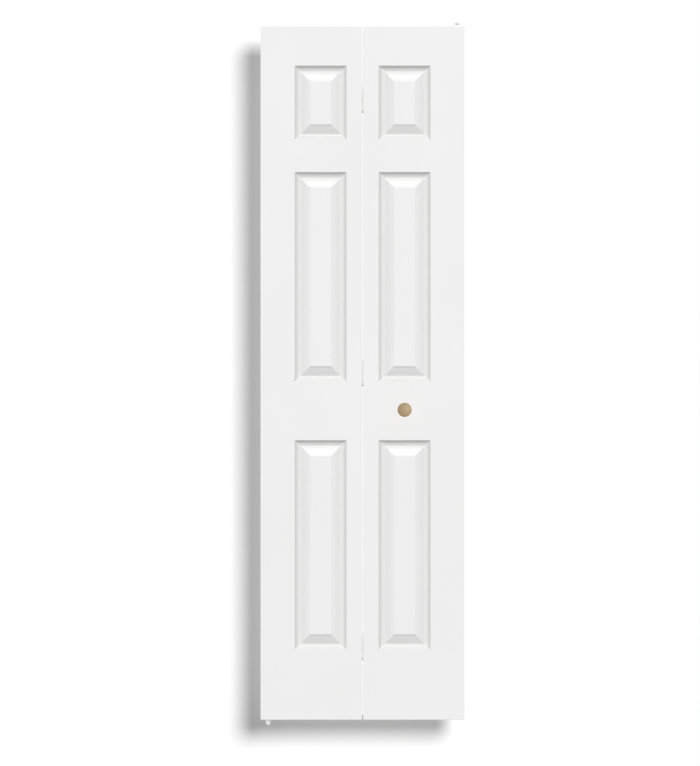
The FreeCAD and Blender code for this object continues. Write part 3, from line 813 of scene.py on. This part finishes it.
@dataclass
class MouldedLeaf:
    """One leaf: two pressed skins over a wood frame and a paper filling."""

    name: str
    outer_part: str
    edge: float
    side: int
    width: float = 0.2937
    skin: float = 0.0032
    outer_margin: float = 0.0984
    panel_width: float = 0.1509
    panels: tuple[Point, ...] = ((0.2022, 0.8096), (0.9780, 1.5854), (1.6777, 1.8933))
    edge_round: float = 0.0006
    sharp_angle: float = 50.0
    moulding: Moulding = field(default_factory=Moulding)
    knob_bore: float | None = None

    def across(self, inset: float) -> float:
        """Return the X of a distance in from the leaf's outer edge."""
        return self.edge + self.side * inset

    def skin_mesh(self, face: Side) -> BMesh:
        """Press one skin.

        Args:
            face: Which side of the leaf it covers.

        Returns:
            The closed skin.
        """
        mesh = flat(Matrix.Translation((self.across(self.width / 2), -HALF_THICKNESS,
                                        LIFT + LEAF_HEIGHT / 2)) @ UPRIGHT,
                    (self.width, LEAF_HEIGHT))
        near, far = sorted((self.across(self.outer_margin),
                            self.across(self.outer_margin + self.panel_width)))
        planes = [((place, 0.0, 0.0), (1.0, 0.0, 0.0)) for place in (near, far)]
        planes += [((0.0, 0.0, LIFT + height), (0.0, 0.0, 1.0))
                   for span in self.panels for height in span]
        for point, normal in planes:
            bmesh.ops.bisect_plane(mesh, geom=corners_of(mesh), plane_co=point, plane_no=normal,
                                   dist=TOUCH / 100)
        for low, high in self.panels:
            self._press_panel(mesh, Vector(((near + far) / 2, -HALF_THICKNESS,
                                            LIFT + (low + high) / 2)))
        bmesh.ops.recalc_face_normals(mesh, faces=mesh.faces)
        if sum(each.normal.y * each.calc_area() for each in mesh.faces) > 0:
            bmesh.ops.reverse_faces(mesh, faces=mesh.faces)
        bmesh.ops.solidify(mesh, geom=mesh.faces[:], thickness=self.skin)
        self._ease_border(mesh)
        if self.knob_bore:
            mesh = self._pierce(mesh)
        if face is Side.BACK:
            bmesh.ops.scale(mesh, verts=mesh.verts, vec=(1.0, -1.0, 1.0))
        tidied(mesh, 0.0000005)
        return self._shade(mesh)

    def _press_panel(self, mesh: BMesh, centre: Vector) -> None:
        """Press the moulding round one panel, strip by strip.

        Args:
            mesh: The sheet.
            centre: Middle of the panel.
        """
        panel = min(mesh.faces, key=lambda face: (face.calc_center_median() - centre).length)
        for run, drop in self.moulding.strips():
            bmesh.ops.inset_region(mesh, faces=[panel], use_boundary=True, use_even_offset=True,
                                   thickness=run, depth=-drop)

    def _pierce(self, mesh: BMesh) -> BMesh:
        """Open the hole for the knob's screw.

        Args:
            mesh: The closed front skin, which is used up.

        Returns:
            The pierced skin.
        """
        drill = bmesh.new()
        place = Matrix.Translation((KNOB_CENTRE[0], -HALF_THICKNESS, KNOB_CENTRE[1]))
        bmesh.ops.create_cone(
            drill, cap_ends=True, segments=24, radius1=self.knob_bore, radius2=self.knob_bore,
            depth=HALF_THICKNESS, matrix=place @ UPRIGHT)
        return carved(mesh, drill)

    def _ease_border(self, mesh: BMesh) -> None:
        """Take the sharpness off the skin's outer border.

        Args:
            mesh: The closed skin.
        """
        left, right = sorted((self.across(0.0), self.across(self.width)))
        low, high = LIFT, LIFT + LEAF_HEIGHT

        def on_border(vert: BMVert) -> bool:
            """Tell whether a vertex is on the border of the outer face."""
            sides = (vert.co.x - left, vert.co.x - right, vert.co.z - low, vert.co.z - high)
            return (abs(vert.co.y + HALF_THICKNESS) < TOUCH
                    and min(abs(gap) for gap in sides) < TOUCH)

        softened(mesh, [edge for edge in mesh.edges
                        if on_border(edge.verts[0]) and on_border(edge.verts[1])
                        and edge.calc_face_angle(0.0) > 1.0], self.edge_round)

    def _shade(self, mesh: BMesh) -> BMesh:
        """Leave the flats flat and the mitres sharp, and shade the mouldings smooth.

        Args:
            mesh: The finished skin.

        Returns:
            The same mesh.
        """
        for face in mesh.faces:
            face.smooth = max(abs(part) for part in face.normal) < 1.0 - TOUCH
        for edge in mesh.edges:
            way = edge.verts[1].co - edge.verts[0].co
            mitre = abs(way.x) > TOUCH and abs(way.z) > TOUCH
            edge.smooth = not mitre and edge.calc_face_angle(0.0) < math.radians(self.sharp_angle)
        return mesh

    def build(self, shop: Workshop) -> None:
        """Hang both skins and dress the wood and the filling.

        Args:
            shop: The workshop.
        """
        for face in Side:
            word = face.name.lower()
            shop.hang(self.skin_mesh(face), f"{self.name}_{word}_moulding",
                      PrimedFibre(), f"{self.name}_{word}_skin")
        for part in (self.outer_part, "hinge_stile"):
            shop.dress(f"{self.name}_{part}", FrameWood())
        for part in ("top_rail", "bottom_rail"):
            shop.dress(f"{self.name}_{part}", FrameWood(upright=False))
        if self.knob_bore:
            shop.dress(f"{self.name}_knob_block", FrameWood())
        shop.dress(f"{self.name}_honeycomb_core", CorePaper())


@dataclass
class CrossScrew:
    """A screw with a cross recess, drawn with its head's face at the origin and facing +Z."""

    head_radius: float
    shank_radius: float
    length: float
    head_height: float
    countersunk: bool = True
    recess_span: float = 0.0036
    recess_width: float = 0.0009
    recess_depth: float = 0.0013
    recess_taper: Triple = (0.35, 0.7, 1.0)
    crown: float = 0.62
    shoulder: float = 0.94
    shoulder_drop: float = 0.45
    point_start: float = 0.75
    point: float = 0.15

    def mesh(self) -> BMesh:
        """Return the screw with its recess cut."""
        if self.countersunk:
            lathe = Lathe(0.0, 0.0).to(self.head_radius, 0.0, 0.00012)
            lathe.to(self.shank_radius, -self.head_height)
        else:
            lathe = Lathe(0.0, 0.0).to(self.head_radius * self.crown, 0.0, 0.0008)
            lathe.to(self.head_radius * self.shoulder, -self.head_height * self.shoulder_drop,
                     0.0006)
            lathe.to(self.head_radius, -self.head_height, 0.0001)
            lathe.to(self.shank_radius, -self.head_height)
        lathe.to(self.shank_radius, -self.length * self.point_start)
        lathe.to(self.shank_radius * self.point, -self.length)
        blank = lathe.to(0.0, -self.length).turn(32)
        for turn in (0.0, math.pi / 2):
            blank = carved(blank, self._blade(turn))
        return crisp(blank)

    def _blade(self, turn: float) -> BMesh:
        """One arm of the cross recess, narrower at its foot.

        Args:
            turn: Its turn about the screw in radians.

        Returns:
            The closed blade.
        """
        mesh = block((self.recess_span, self.recess_width, 2 * self.recess_depth))
        foot = [vert for vert in mesh.verts if vert.co.z < 0]
        bmesh.ops.scale(mesh, verts=foot, vec=self.recess_taper)
        return moved(mesh, Matrix.Rotation(turn, 4, "Z"))


@dataclass
class Knob:
    """The turned knob, with its through screw and washer on the closet side."""

    radius: float = 0.0205
    brim_round: float = 0.0060
    brim_half: float = 0.0050
    brim_length: float = 0.0190
    waist: float = 0.0080
    waist_length: float = 0.0090
    foot: float = 0.0105
    foot_length: float = 0.0022
    bore: float = 0.00205
    bore_depth: float = 0.0140
    washer: float = 0.0075
    washer_height: float = 0.0010
    screw_stand: float = 0.0034

    def knob_mesh(self) -> BMesh:
        """Return the knob, drawn from its foot out to the crown."""
        core = self.radius - self.brim_round
        reach = math.sqrt(self.brim_round ** 2 - self.brim_half ** 2)
        dome = self.brim_round * (core + reach) / reach
        dome_centre = self.brim_length - core * self.brim_half / reach
        lift = math.degrees(math.asin(self.brim_half / self.brim_round))
        lathe = Lathe(self.bore, 0.0).to(self.foot, 0.0).to(self.foot, self.foot_length, 0.0009)
        lathe.to(self.waist + 0.0006, self.foot_length + 0.0013, 0.0012)
        lathe.to(self.waist, self.waist_length, 0.0030)
        lathe.to(core + reach, self.brim_length - self.brim_half)
        lathe.arc(core, self.brim_length, -2 * lift, 20)
        lathe.arc(0.0, dome_centre, -math.degrees(math.asin((core + reach) / dome)), 24)
        lathe.to(0.0, self.bore_depth).to(self.bore, self.bore_depth).to(self.bore, 0.0)
        return self._placed(crisp(lathe.turn(96), 40.0), Side.FRONT)

    @staticmethod
    def _placed(mesh: BMesh, side: Side, off: float = 0.0) -> BMesh:
        """Lay a turned mesh on the knob's axis, off one face, its Z away from the leaf."""
        place = (KNOB_CENTRE[0], side.value * (HALF_THICKNESS + off), KNOB_CENTRE[1])
        return moved(mesh, Matrix.Translation(place)
                     @ Matrix.Rotation(math.pi / 2 * -side.value, 4, "X"))

    def washer_mesh(self) -> BMesh:
        """Return the washer under the screw's head."""
        lathe = Lathe(self.bore, 0.0).to(self.washer, 0.0)
        lathe.to(self.washer, self.washer_height, 0.0004).to(self.bore, self.washer_height)
        return self._placed(crisp(lathe.to(self.bore, 0.0).turn(48)), Side.BACK)

    def screw_mesh(self) -> BMesh:
        """Return the through screw, head on the closet side."""
        screw = CrossScrew(head_radius=0.0046, shank_radius=0.0020, length=0.0503,
                           head_height=0.0024, countersunk=False, recess_span=0.0042,
                           recess_width=0.0010, recess_depth=0.0016)
        return self._placed(screw.mesh(), Side.BACK, self.screw_stand)

    def build(self, shop: Workshop) -> bpy.types.Object:
        """Hang the knob, its screw and washer.

        Args:
            shop: The workshop.

        Returns:
            The knob.
        """
        knob = shop.hang(self.knob_mesh(), "turned_knob", TurnedWood(), "knob")
        shop.hang(self.washer_mesh(), "knob_screw_washer", WASHER_ZINC,
                  "knob_washer")
        shop.hang(self.screw_mesh(), "knob_through_screw", SCREW_ZINC,
                  "knob_screw")
        return knob


# Hinges, pivots and guide

@dataclass
class FoldHinge:
    """One butt hinge: two plates with rolled knuckles, a pin and six countersunk screws."""

    name: str
    plate: float = 0.0015
    corner: float = 0.0060
    knuckle_clear: float = 0.01765
    play: float = 0.00015
    bore: float = 0.00185
    pin_radius: float = 0.0018
    pin_head: float = 0.0026
    screw_pitch: float = 0.025
    cross_turn: float = 0.4
    cross_step: float = 0.9
    edge_round: float = 0.0002
    bite: float = 0.0002

    def plate_mesh(self, node: str, outer: float, own: tuple[int, ...]) -> BMesh:
        """Shape one plate with its own knuckles.

        Args:
            node: The plate's node in the frame.
            outer: X of the plate's left face.
            own: Which of the three knuckles, counted upwards, it carries.

        Returns:
            The plate.
        """
        low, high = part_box(node)
        barrel_radius, axis_across, axis_back = self._barrel()
        middle, reach = outer + self.plate / 2, axis_back - self.knuckle_clear
        slab = block((self.plate, self.knuckle_clear - low.y, high.z - low.z),
                     (middle, (self.knuckle_clear + low.y) / 2, (high.z + low.z) / 2))
        corners = [edge for edge in slab.edges
                   if all(abs(vert.co.y - low.y) < TOUCH for vert in edge.verts)
                   and abs(edge.verts[0].co.x - edge.verts[1].co.x) > self.plate / 2]
        softened(slab, corners, self.corner, 8)
        softened(slab, [edge for edge in slab.edges if edge.calc_face_angle(0.0) > 1.0],
                 self.edge_round, 2)
        meshes = [slab]
        height = (high.z - low.z) / 3
        for number in own:
            foot = low.z + number * height + (self.play if number else 0.0)
            top = low.z + (number + 1) * height - (self.play if number < 2 else 0.0)
            ring = Lathe(self.bore, foot).to(barrel_radius, foot, 0.0004)
            ring.to(barrel_radius, top, 0.0004).to(self.bore, top).to(self.bore, foot)
            meshes += [
                moved(ring.turn(40), Matrix.Translation((axis_across, axis_back, 0.0))),
                block((self.plate * 0.98, reach + 2 * self.bite, top - foot - 2 * self.bite),
                      (middle, self.knuckle_clear + reach / 2 - self.bite, (foot + top) / 2))]
        return crisp(joined(meshes))

    def _barrel(self) -> tuple[float, float, float]:
        """Return the barrel's radius and its axis, X and Y, from the pin's node."""
        low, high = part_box(f"{self.name}_hinge_pin")
        across, back = (low.x + high.x) / 2, (low.y + high.y) / 2
        _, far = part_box(f"{self.name}_hinge_guide_plate")
        return far.y - back, across, back

    def pin_mesh(self) -> BMesh:
        """Return the pin with its round head above the barrel."""
        low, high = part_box(f"{self.name}_hinge_pin")
        _, across, back = self._barrel()
        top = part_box(f"{self.name}_hinge_pivot_plate")[1].z
        lathe = Lathe(0.0, low.z).to(self.pin_radius, low.z, 0.0004).to(self.pin_radius, top)
        lathe.to(self.pin_head, top, 0.0002).to(self.pin_head, high.z, 0.0008).to(0.0, high.z)
        return crisp(moved(lathe.turn(32), Matrix.Translation((across, back, 0.0))))

    def screws_mesh(self, node: str, way: int) -> BMesh:
        """Return the three screws of one plate, their crosses each turned differently.

        Args:
            node: The screws' node in the frame.
            way: The sign of X that the heads face.

        Returns:
            The screws.
        """
        low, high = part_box(node)
        face = high.x if way > 0 else low.x
        meshes = []
        for row in (-1, 0, 1):
            screw = CrossScrew(head_radius=0.0033, shank_radius=0.0018,
                               length=high.x - low.x, head_height=0.0013).mesh()
            place = Matrix.Translation((face, (low.y + high.y) / 2,
                                        (low.z + high.z) / 2 + row * self.screw_pitch))
            turn = Matrix.Rotation(way * math.pi / 2, 4, "Y") @ Matrix.Rotation(
                self.cross_turn + self.cross_step * row, 4, "Z")
            meshes.append(moved(screw, place @ turn))
        return joined(meshes)

    def build(self, shop: Workshop) -> None:
        """Hang the plates, the pin and the screws.

        Args:
            shop: The workshop.
        """
        faces = (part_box("pivot_leaf_hinge_stile")[1].x,
                 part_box("guide_leaf_hinge_stile")[0].x - self.plate)
        for side, outer, own, way in zip(("pivot", "guide"), faces, ((0, 2), (1,)), (1, -1)):
            stem = f"{self.name}_hinge_{side}"
            shop.hang(self.plate_mesh(f"{stem}_plate", outer, own), f"{stem}_butt",
                      CoatedSteel(), f"{stem}_plate")
            shop.hang(self.screws_mesh(f"{stem}_screws", way), f"{stem}_cross_screws",
                      SCREW_ZINC, f"{stem}_screws")
        shop.hang(self.pin_mesh(), f"{self.name}_hinge_headed_pin",
                  Plating("pin_zinc", gloss=0.24), f"{self.name}_hinge_pin")


@dataclass
class BottomPivot:
    """Bolt, nut, washer and sleeve on which the door stands and swings."""

    pin_radius: float = 0.00475
    collar_radius: float = 0.0070
    collar_height: float = 0.0015
    crest: float = 0.0045
    root: float = 0.0039
    pitch: float = 0.0016
    thread_foot: float = 0.0018
    chamfer: float = 0.0006
    facets: int = 32

    def bolt_mesh(self) -> BMesh:
        """Return the bolt with its thread wound round the shank."""
        low, high = (corner.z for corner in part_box("bottom_pivot_bolt"))
        shoulder = high - self.chamfer
        lathe = Lathe(0.0, low).to(self.pin_radius, low, 0.0008).to(self.pin_radius, 0.0)
        lathe.to(self.collar_radius, 0.0, 0.0003)
        lathe.to(self.collar_radius, self.collar_height, 0.0004)
        lathe.to(self.root, self.collar_height).to(self.root, shoulder)
        lathe.to(self.root - self.chamfer, high).to(0.0, high)
        return crisp(joined([lathe.turn(self.facets), self._thread(shoulder)]))

    def _thread(self, top: float) -> BMesh:
        """Wind the ridge of the thread.

        Args:
            top: Where it ends.

        Returns:
            The closed ridge.
        """
        mesh = bmesh.new()
        inside, half = self.root - 0.0001, self.pitch / 2
        section = ((inside, -0.95), (self.crest, -0.12), (self.crest, 0.12), (inside, 0.95))
        face = mesh.faces.new([
            mesh.verts.new((radius, 0.0, self.thread_foot + half + half * share))
            for radius, share in section])
        wound(mesh, [face], (top - self.thread_foot) / self.pitch - 1, self.pitch, self.facets)
        bmesh.ops.recalc_face_normals(mesh, faces=mesh.faces)
        return mesh

    def build(self, shop: Workshop) -> None:
        """Hang the bolt and dress the rest.

        Args:
            shop: The workshop.
        """
        shop.hang(self.bolt_mesh(), "bottom_pivot_threaded_bolt", TURNED_ZINC,
                  "bottom_pivot_bolt")
        shop.dress("height_nut", Plating("nut_zinc", gloss=0.30, lines=(0.2, 0.2, 1.0)))
        shop.dress("thrust_washer", WASHER_ZINC)
        shop.dress("bottom_pivot_sleeve", MouldedNylon())


@dataclass
class SprungPins:
    """The two sprung pins at the top, the guide's roller and its clip."""

    tail: float = 0.0028
    tail_length: float = 0.014
    collar: float = 0.00565
    collar_height: float = 0.0030
    shaft: float = 0.0040
    tip: float = 0.00375
    step_height: float = 0.0020
    neck: float = 0.0030
    play: float = 0.00005
    roller: float = 0.0080
    dish: tuple[float, ...] = (0.0066, 0.0062, 0.0052, 0.0049)
    dish_depth: float = 0.0008
    clip: float = 0.0048
    clip_mouth: float = 0.0042
    wire: float = 0.00055
    coil: float = 0.0044
    coils: int = 8
    facets: int = 24
    pivot_press: float = 0.009
    guide_press: float = 0.006

    def _foot(self, node: str) -> Lathe:
        """Draw what both pins share, up to the shaft.

        Args:
            node: The pin's node in the frame.

        Returns:
            The outline so far.
        """
        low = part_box(node)[0].z
        collar, stop = low + self.tail_length, low + self.tail_length + self.collar_height
        lathe = Lathe(0.0, low).to(self.tail, low, 0.0006).to(self.tail, collar)
        lathe.to(self.collar, collar, 0.0003).to(self.collar, stop, 0.0003)
        return lathe.to(self.shaft, stop)

    @staticmethod
    def _stood(mesh: BMesh, node: str) -> BMesh:
        """Move a turned mesh onto the axis of the node that it stands for."""
        low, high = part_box(node)
        return crisp(moved(mesh, Matrix.Translation(((low.x + high.x) / 2, 0.0, 0.0))))

    def pivot_mesh(self) -> BMesh:
        """Return the pivot pin with its rounded tip."""
        lathe = self._foot("top_pivot_pin")
        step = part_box("pivot_leaf_front_skin")[1].z + self.step_height
        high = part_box("top_pivot_pin")[1].z
        lathe.to(self.shaft, step, 0.0002).to(self.tip, step + 0.0002).to(self.tip, high, 0.0012)
        return self._stood(lathe.to(0.0, high).turn(48), "top_pivot_pin")

    def guide_mesh(self) -> BMesh:
        """Return the guide pin with the neck on which the roller turns."""
        lathe = self._foot("top_guide_pin")
        under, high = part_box("guide_roller")[0].z - 0.0001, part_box("top_guide_pin")[1].z
        lathe.to(self.shaft, under, 0.0003).to(self.neck, under).to(self.neck, high, 0.0004)
        return self._stood(lathe.to(0.0, high).turn(48), "top_guide_pin")

    def roller_mesh(self) -> BMesh:
        """Return the roller with its rounded tread and a shallow dish in its top."""
        low, high = (corner.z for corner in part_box("guide_roller"))
        bore, floor = self.neck + self.play, high - self.dish_depth
        rim, wall, step, hub = self.dish
        lathe = Lathe(bore, low).to(self.roller, low, 0.0012).to(self.roller, high, 0.0012)
        lathe.to(rim, high, 0.0002).to(wall, floor, 0.0002).to(step, floor).to(hub, high)
        return self._stood(lathe.to(bore, high).to(bore, low).turn(64), "guide_roller")

    def clip_mesh(self) -> BMesh:
        """Return the clip, open on one side so that it snaps into place."""
        low, high = (corner.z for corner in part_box("roller_clip"))
        bore = self.neck + self.play
        ring = Lathe(bore, low).to(self.clip, low, 0.0001).to(self.clip, high, 0.0002)
        ring.to(bore, high).to(bore, low)
        mouth = block((self.clip_mouth, self.clip, 0.004), (0.0, -self.clip, (low + high) / 2))
        return self._stood(carved(ring.turn(48), mouth), "roller_clip")

    def _hang_spring(self, shop: Workshop, pin: str) -> None:
        """Wind the spring under a pin.

        Args:
            shop: The workshop.
            pin: The pin's name, without its ending.
        """
        low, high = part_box(f"{pin}_spring")
        length, closed, open_turns = high.z - low.z, 2.1 * self.wire, self.coils - 2
        mesh = bmesh.new()
        bmesh.ops.create_circle(
            mesh, cap_ends=True, segments=10, radius=self.wire,
            matrix=Matrix.Translation((self.coil, 0.0, low.z + self.wire)) @ UPRIGHT)
        end: list[Any] = list(mesh.faces)
        climb = (length - 2 * (self.wire + closed)) / open_turns
        for turns, rise in ((1, closed), (open_turns, climb), (1, closed)):
            end = wound(mesh, end, turns, rise, self.facets)
        bmesh.ops.recalc_face_normals(mesh, faces=mesh.faces)
        piece = shop.hang(self._stood(mesh, f"{pin}_pin"), f"{pin}_wound_spring",
                          Plating("spring_wire", (0.50, 0.50, 0.51), (0.34, 0.34, 0.35)),
                          f"{pin}_spring")
        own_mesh(piece)

    def build(self, shop: Workshop) -> None:
        """Hang the pins, springs, roller and clip and dress the rest.

        Args:
            shop: The workshop.
        """
        for mesh, name, node in (
                (self.pivot_mesh(), "top_pivot_rounded_pin", "top_pivot_pin"),
                (self.guide_mesh(), "top_guide_necked_pin", "top_guide_pin")):
            shop.hang(mesh, name, TURNED_ZINC, node)
        shop.hang(self.roller_mesh(), "top_guide_wheel", MouldedNylon(), "guide_roller")
        shop.hang(self.clip_mesh(), "wheel_clip",
                  Plating("clip_steel", (0.62, 0.62, 0.63), (0.45, 0.45, 0.46)), "roller_clip")
        for pin, press in (("top_pivot", self.pivot_press), ("top_guide", self.guide_press)):
            self._hang_spring(shop, pin)
            shop.dress(f"{pin}_sleeve", MouldedNylon())
            shop.dress(f"{pin}_plug", MouldedNylon())


# The studio

@dataclass
class Studio:
    """Camera, pale floor, white wall with a painted glowing strip behind the door's gap, and soft
    lamps.
    """

    centre: Point = (0.2733, 1.0108)
    frame_height: float = 2.2163
    lens: float = 200.0
    sensor: float = 36.0
    shift: Point = (-12.6 / 766, -9.9 / 766)
    clip: Point = (0.1, 100.0)
    wall_depth: float = 0.130
    wall_size: Point = (6.0, 4.0)
    wall_grey: float = 0.60
    floor_level: float = -0.150
    floor_size: Point = (12.0, 12.0)
    floor_grey: float = 0.90
    ambient: float = 0.23
    key_level: float = 0.858
    key_height: float = 30.0
    key_spread: float = 20.0
    drop_way: Triple = (0.064, -0.147, 0.062)
    drop_level: float = 1.36
    drop_spread: float = 24.0
    rear_lamps: tuple[tuple[str, Triple, float], ...] = (
        ("left_rear_lamp", (-0.90, 0.38, 0.20), 0.42),
        ("right_rear_lamp", (0.90, 0.38, 0.20), 0.42),
        ("rear_lamp", (0.0, 0.80, 0.60), 0.45))
    soft_spread: float = 40.0
    dusk: float = 0.17
    # Painted light: brightness of the glowing strip of wall behind the door's gap, and its
    # half-width.
    gap_glow: float = 1.0
    gap_half: float = 0.0021
    knob_way: Triple = (0.42, -1.0, 0.22)
    knob_level: float = 0.72
    door_half: float = 1.0

    def camera(self) -> None:
        """Stand the camera square to the closed door."""
        data = bpy.data.cameras.new("camera")
        data.lens, data.sensor_width = self.lens, self.sensor
        data.shift_x, data.shift_y = self.shift
        data.clip_start, data.clip_end = self.clip
        thing = put("camera", data)
        distance = self.lens / self.sensor * self.frame_height
        thing.location = (self.centre[0], -HALF_THICKNESS - distance, self.centre[1])
        thing.rotation_euler = (math.pi / 2, 0.0, 0.0)
        bpy.context.scene.camera = thing

    def world(self) -> None:
        """Light everything evenly, and show plain white behind it all."""
        tree = ShaderTree("studio", "worlds")
        seen, mirrored, through = (
            tree.node("ShaderNodeLightPath", output=name)
            for name in ("Is Camera Ray", "Is Glossy Ray", "Is Transmission Ray"))
        even, plain = (
            tree.node("ShaderNodeBackground",
                      inputs={"Color": (1.0, 1.0, 1.0, 1.0), "Strength": strength})
            for strength in (self.ambient, 1.0))
        both = tree.node("ShaderNodeMixShader", inputs={
            0: seen.larger(mirrored).larger(through), 1: even, 2: plain})
        tree.node("ShaderNodeOutputWorld", inputs={"Surface": both})
        bpy.context.scene.world = tree.owner

    @staticmethod
    def sheet(name: str, size: Point, place: Matrix,
              material: bpy.types.Material) -> bpy.types.Object:
        """Make a flat sheet of the stage, seen by the camera alone.

        Args:
            name: Its name.
            size: Its width and length.
            place: Its place; it faces its own +Z.
            material: Its material.

        Returns:
            The sheet.
        """
        thing = put(name, stored(flat(place, size), name))
        thing.data.materials.append(material)
        thing.visible_diffuse = thing.visible_glossy = thing.visible_transmission = False
        thing.visible_shadow = thing.visible_volume_scatter = False
        return thing

    def one_sided(self, name: str, base: float, glow: float, in_gap: float) -> bpy.types.Material:
        """Make a matt stage material that isn't seen from behind, with a painted glowing strip
        behind the gap of the closed door.

        Args:
            name: Its name.
            base: Grey of the diffuse part.
            glow: Grey of its own light.
            in_gap: Grey of the painted glow that takes the place of both behind the gap of the
                closed door.

        Returns:
            The material.
        """
        tree = ShaderTree(name)
        across, _, up = tree.parts(tree.place())
        # Painted light: a narrow strip of the wall behind the gap of the closed door is made black
        # and glows on its own, so the gap shows light in place of the door's shadow.
        glow_strip = (1.0 - abs(across - self.centre[0]).above(self.gap_half)) * (
            1.0 - abs(up - self.centre[1]).above(self.door_half))
        front = tree.node("ShaderNodeBsdfPrincipled", inputs={
            "Base Color": tree.blend(glow_strip, (base,) * 3, (0.0,) * 3), "Roughness": 1.0,
            "Specular IOR Level": 0.0, "Emission Strength": 1.0,
            "Emission Color": tree.blend(glow_strip, (glow,) * 3, (in_gap,) * 3)})
        behind = tree.node("ShaderNodeNewGeometry", output="Backfacing")
        clear = tree.node("ShaderNodeBsdfTransparent")
        both = tree.node("ShaderNodeMixShader", inputs={0: behind, 1: front, 2: clear})
        tree.node("ShaderNodeOutputMaterial", inputs={"Surface": both})
        return tree.owner

    @staticmethod
    def lamp(name: str, way: Triple, level: float, spread: float) -> bpy.types.Object:
        """Hang a wide, far lamp.

        Args:
            name: Its name.
            way: Direction towards it.
            level: How light it makes a white surface that faces it.
            spread: How wide it looks, in degrees.

        Returns:
            The lamp.
        """
        data = bpy.data.lights.new(name, "SUN")
        data.energy, data.angle = level * math.pi, math.radians(spread)
        thing = put(name, data)
        thing.rotation_euler = (-Vector(way)).to_track_quat("-Z", "Y").to_euler()
        return thing

    @staticmethod
    def link(lamp: bpy.types.Object, kind: str, things: Sequence[bpy.types.Object],
             state: str) -> None:
        """Tell a lamp what it lights or what casts its shadows.

        Args:
            lamp: The lamp.
            kind: "receiver" for what it lights, "blocker" for what casts its shadows.
            things: The things.
            state: "INCLUDE" for these alone, "EXCLUDE" for everything but them.
        """
        group = bpy.data.collections.new(f"{lamp.name}_{kind}s")
        for thing in things:
            group.objects.link(thing)
        setattr(lamp.light_linking, f"{kind}_collection", group)
        for entry in group.collection_objects:
            entry.light_linking.link_state = state

    def build(self, knob: bpy.types.Object) -> None:
        """Set up the whole studio.

        Args:
            knob: The knob, which has its own soft front light and casts no hard shadow.
        """
        self.camera()
        self.world()
        wall_middle = (self.centre[0], self.wall_depth, self.floor_level + self.wall_size[1] / 2)
        wall = self.sheet("wall", self.wall_size, Matrix.Translation(wall_middle) @ UPRIGHT,
                          self.one_sided("wall_white", self.wall_grey, self.dusk, self.gap_glow))
        self.sheet("floor", self.floor_size,
                   Matrix.Translation((self.centre[0], 0.0, self.floor_level)),
                   self.one_sided("floor_white", self.floor_grey, 0.0, 0.0))
        height = math.radians(self.key_height)
        key = self.lamp("key_lamp", (0.0, -math.cos(height), math.sin(height)),
                        self.key_level, self.key_spread)
        self.link(key, "receiver", [wall, knob], "EXCLUDE")
        self.link(key, "blocker", [knob], "EXCLUDE")
        for name, way, level in self.rear_lamps:
            self.link(self.lamp(name, way, level, self.soft_spread), "receiver", [wall],
                      "EXCLUDE")
        drop = self.lamp("drop_shadow_lamp", self.drop_way, self.drop_level, self.drop_spread)
        self.link(drop, "receiver", [wall], "INCLUDE")
        soft = self.lamp("knob_lamp", self.knob_way, self.knob_level, self.soft_spread)
        self.link(soft, "receiver", [knob], "INCLUDE")
        bpy.context.scene.view_settings.view_transform = "Standard"
        LOG.info("studio: set up")


def main() -> None:
    """Build every sub-assembly, then the studio."""
    logging.basicConfig(level=logging.INFO, format="%(message)s")
    shop = Workshop(frame)
    MouldedLeaf("pivot_leaf", "jamb_stile", LEFT_EDGE, 1).build(shop)
    MouldedLeaf("guide_leaf", "lead_stile", RIGHT_EDGE, -1, knob_bore=0.0023).build(shop)
    knob = Knob().build(shop)
    for height in ("bottom", "middle", "top"):
        FoldHinge(height).build(shop)
    BottomPivot().build(shop)
    SprungPins().build(shop)
    Studio().build(knob)


if __name__ == "__main__":
    main()
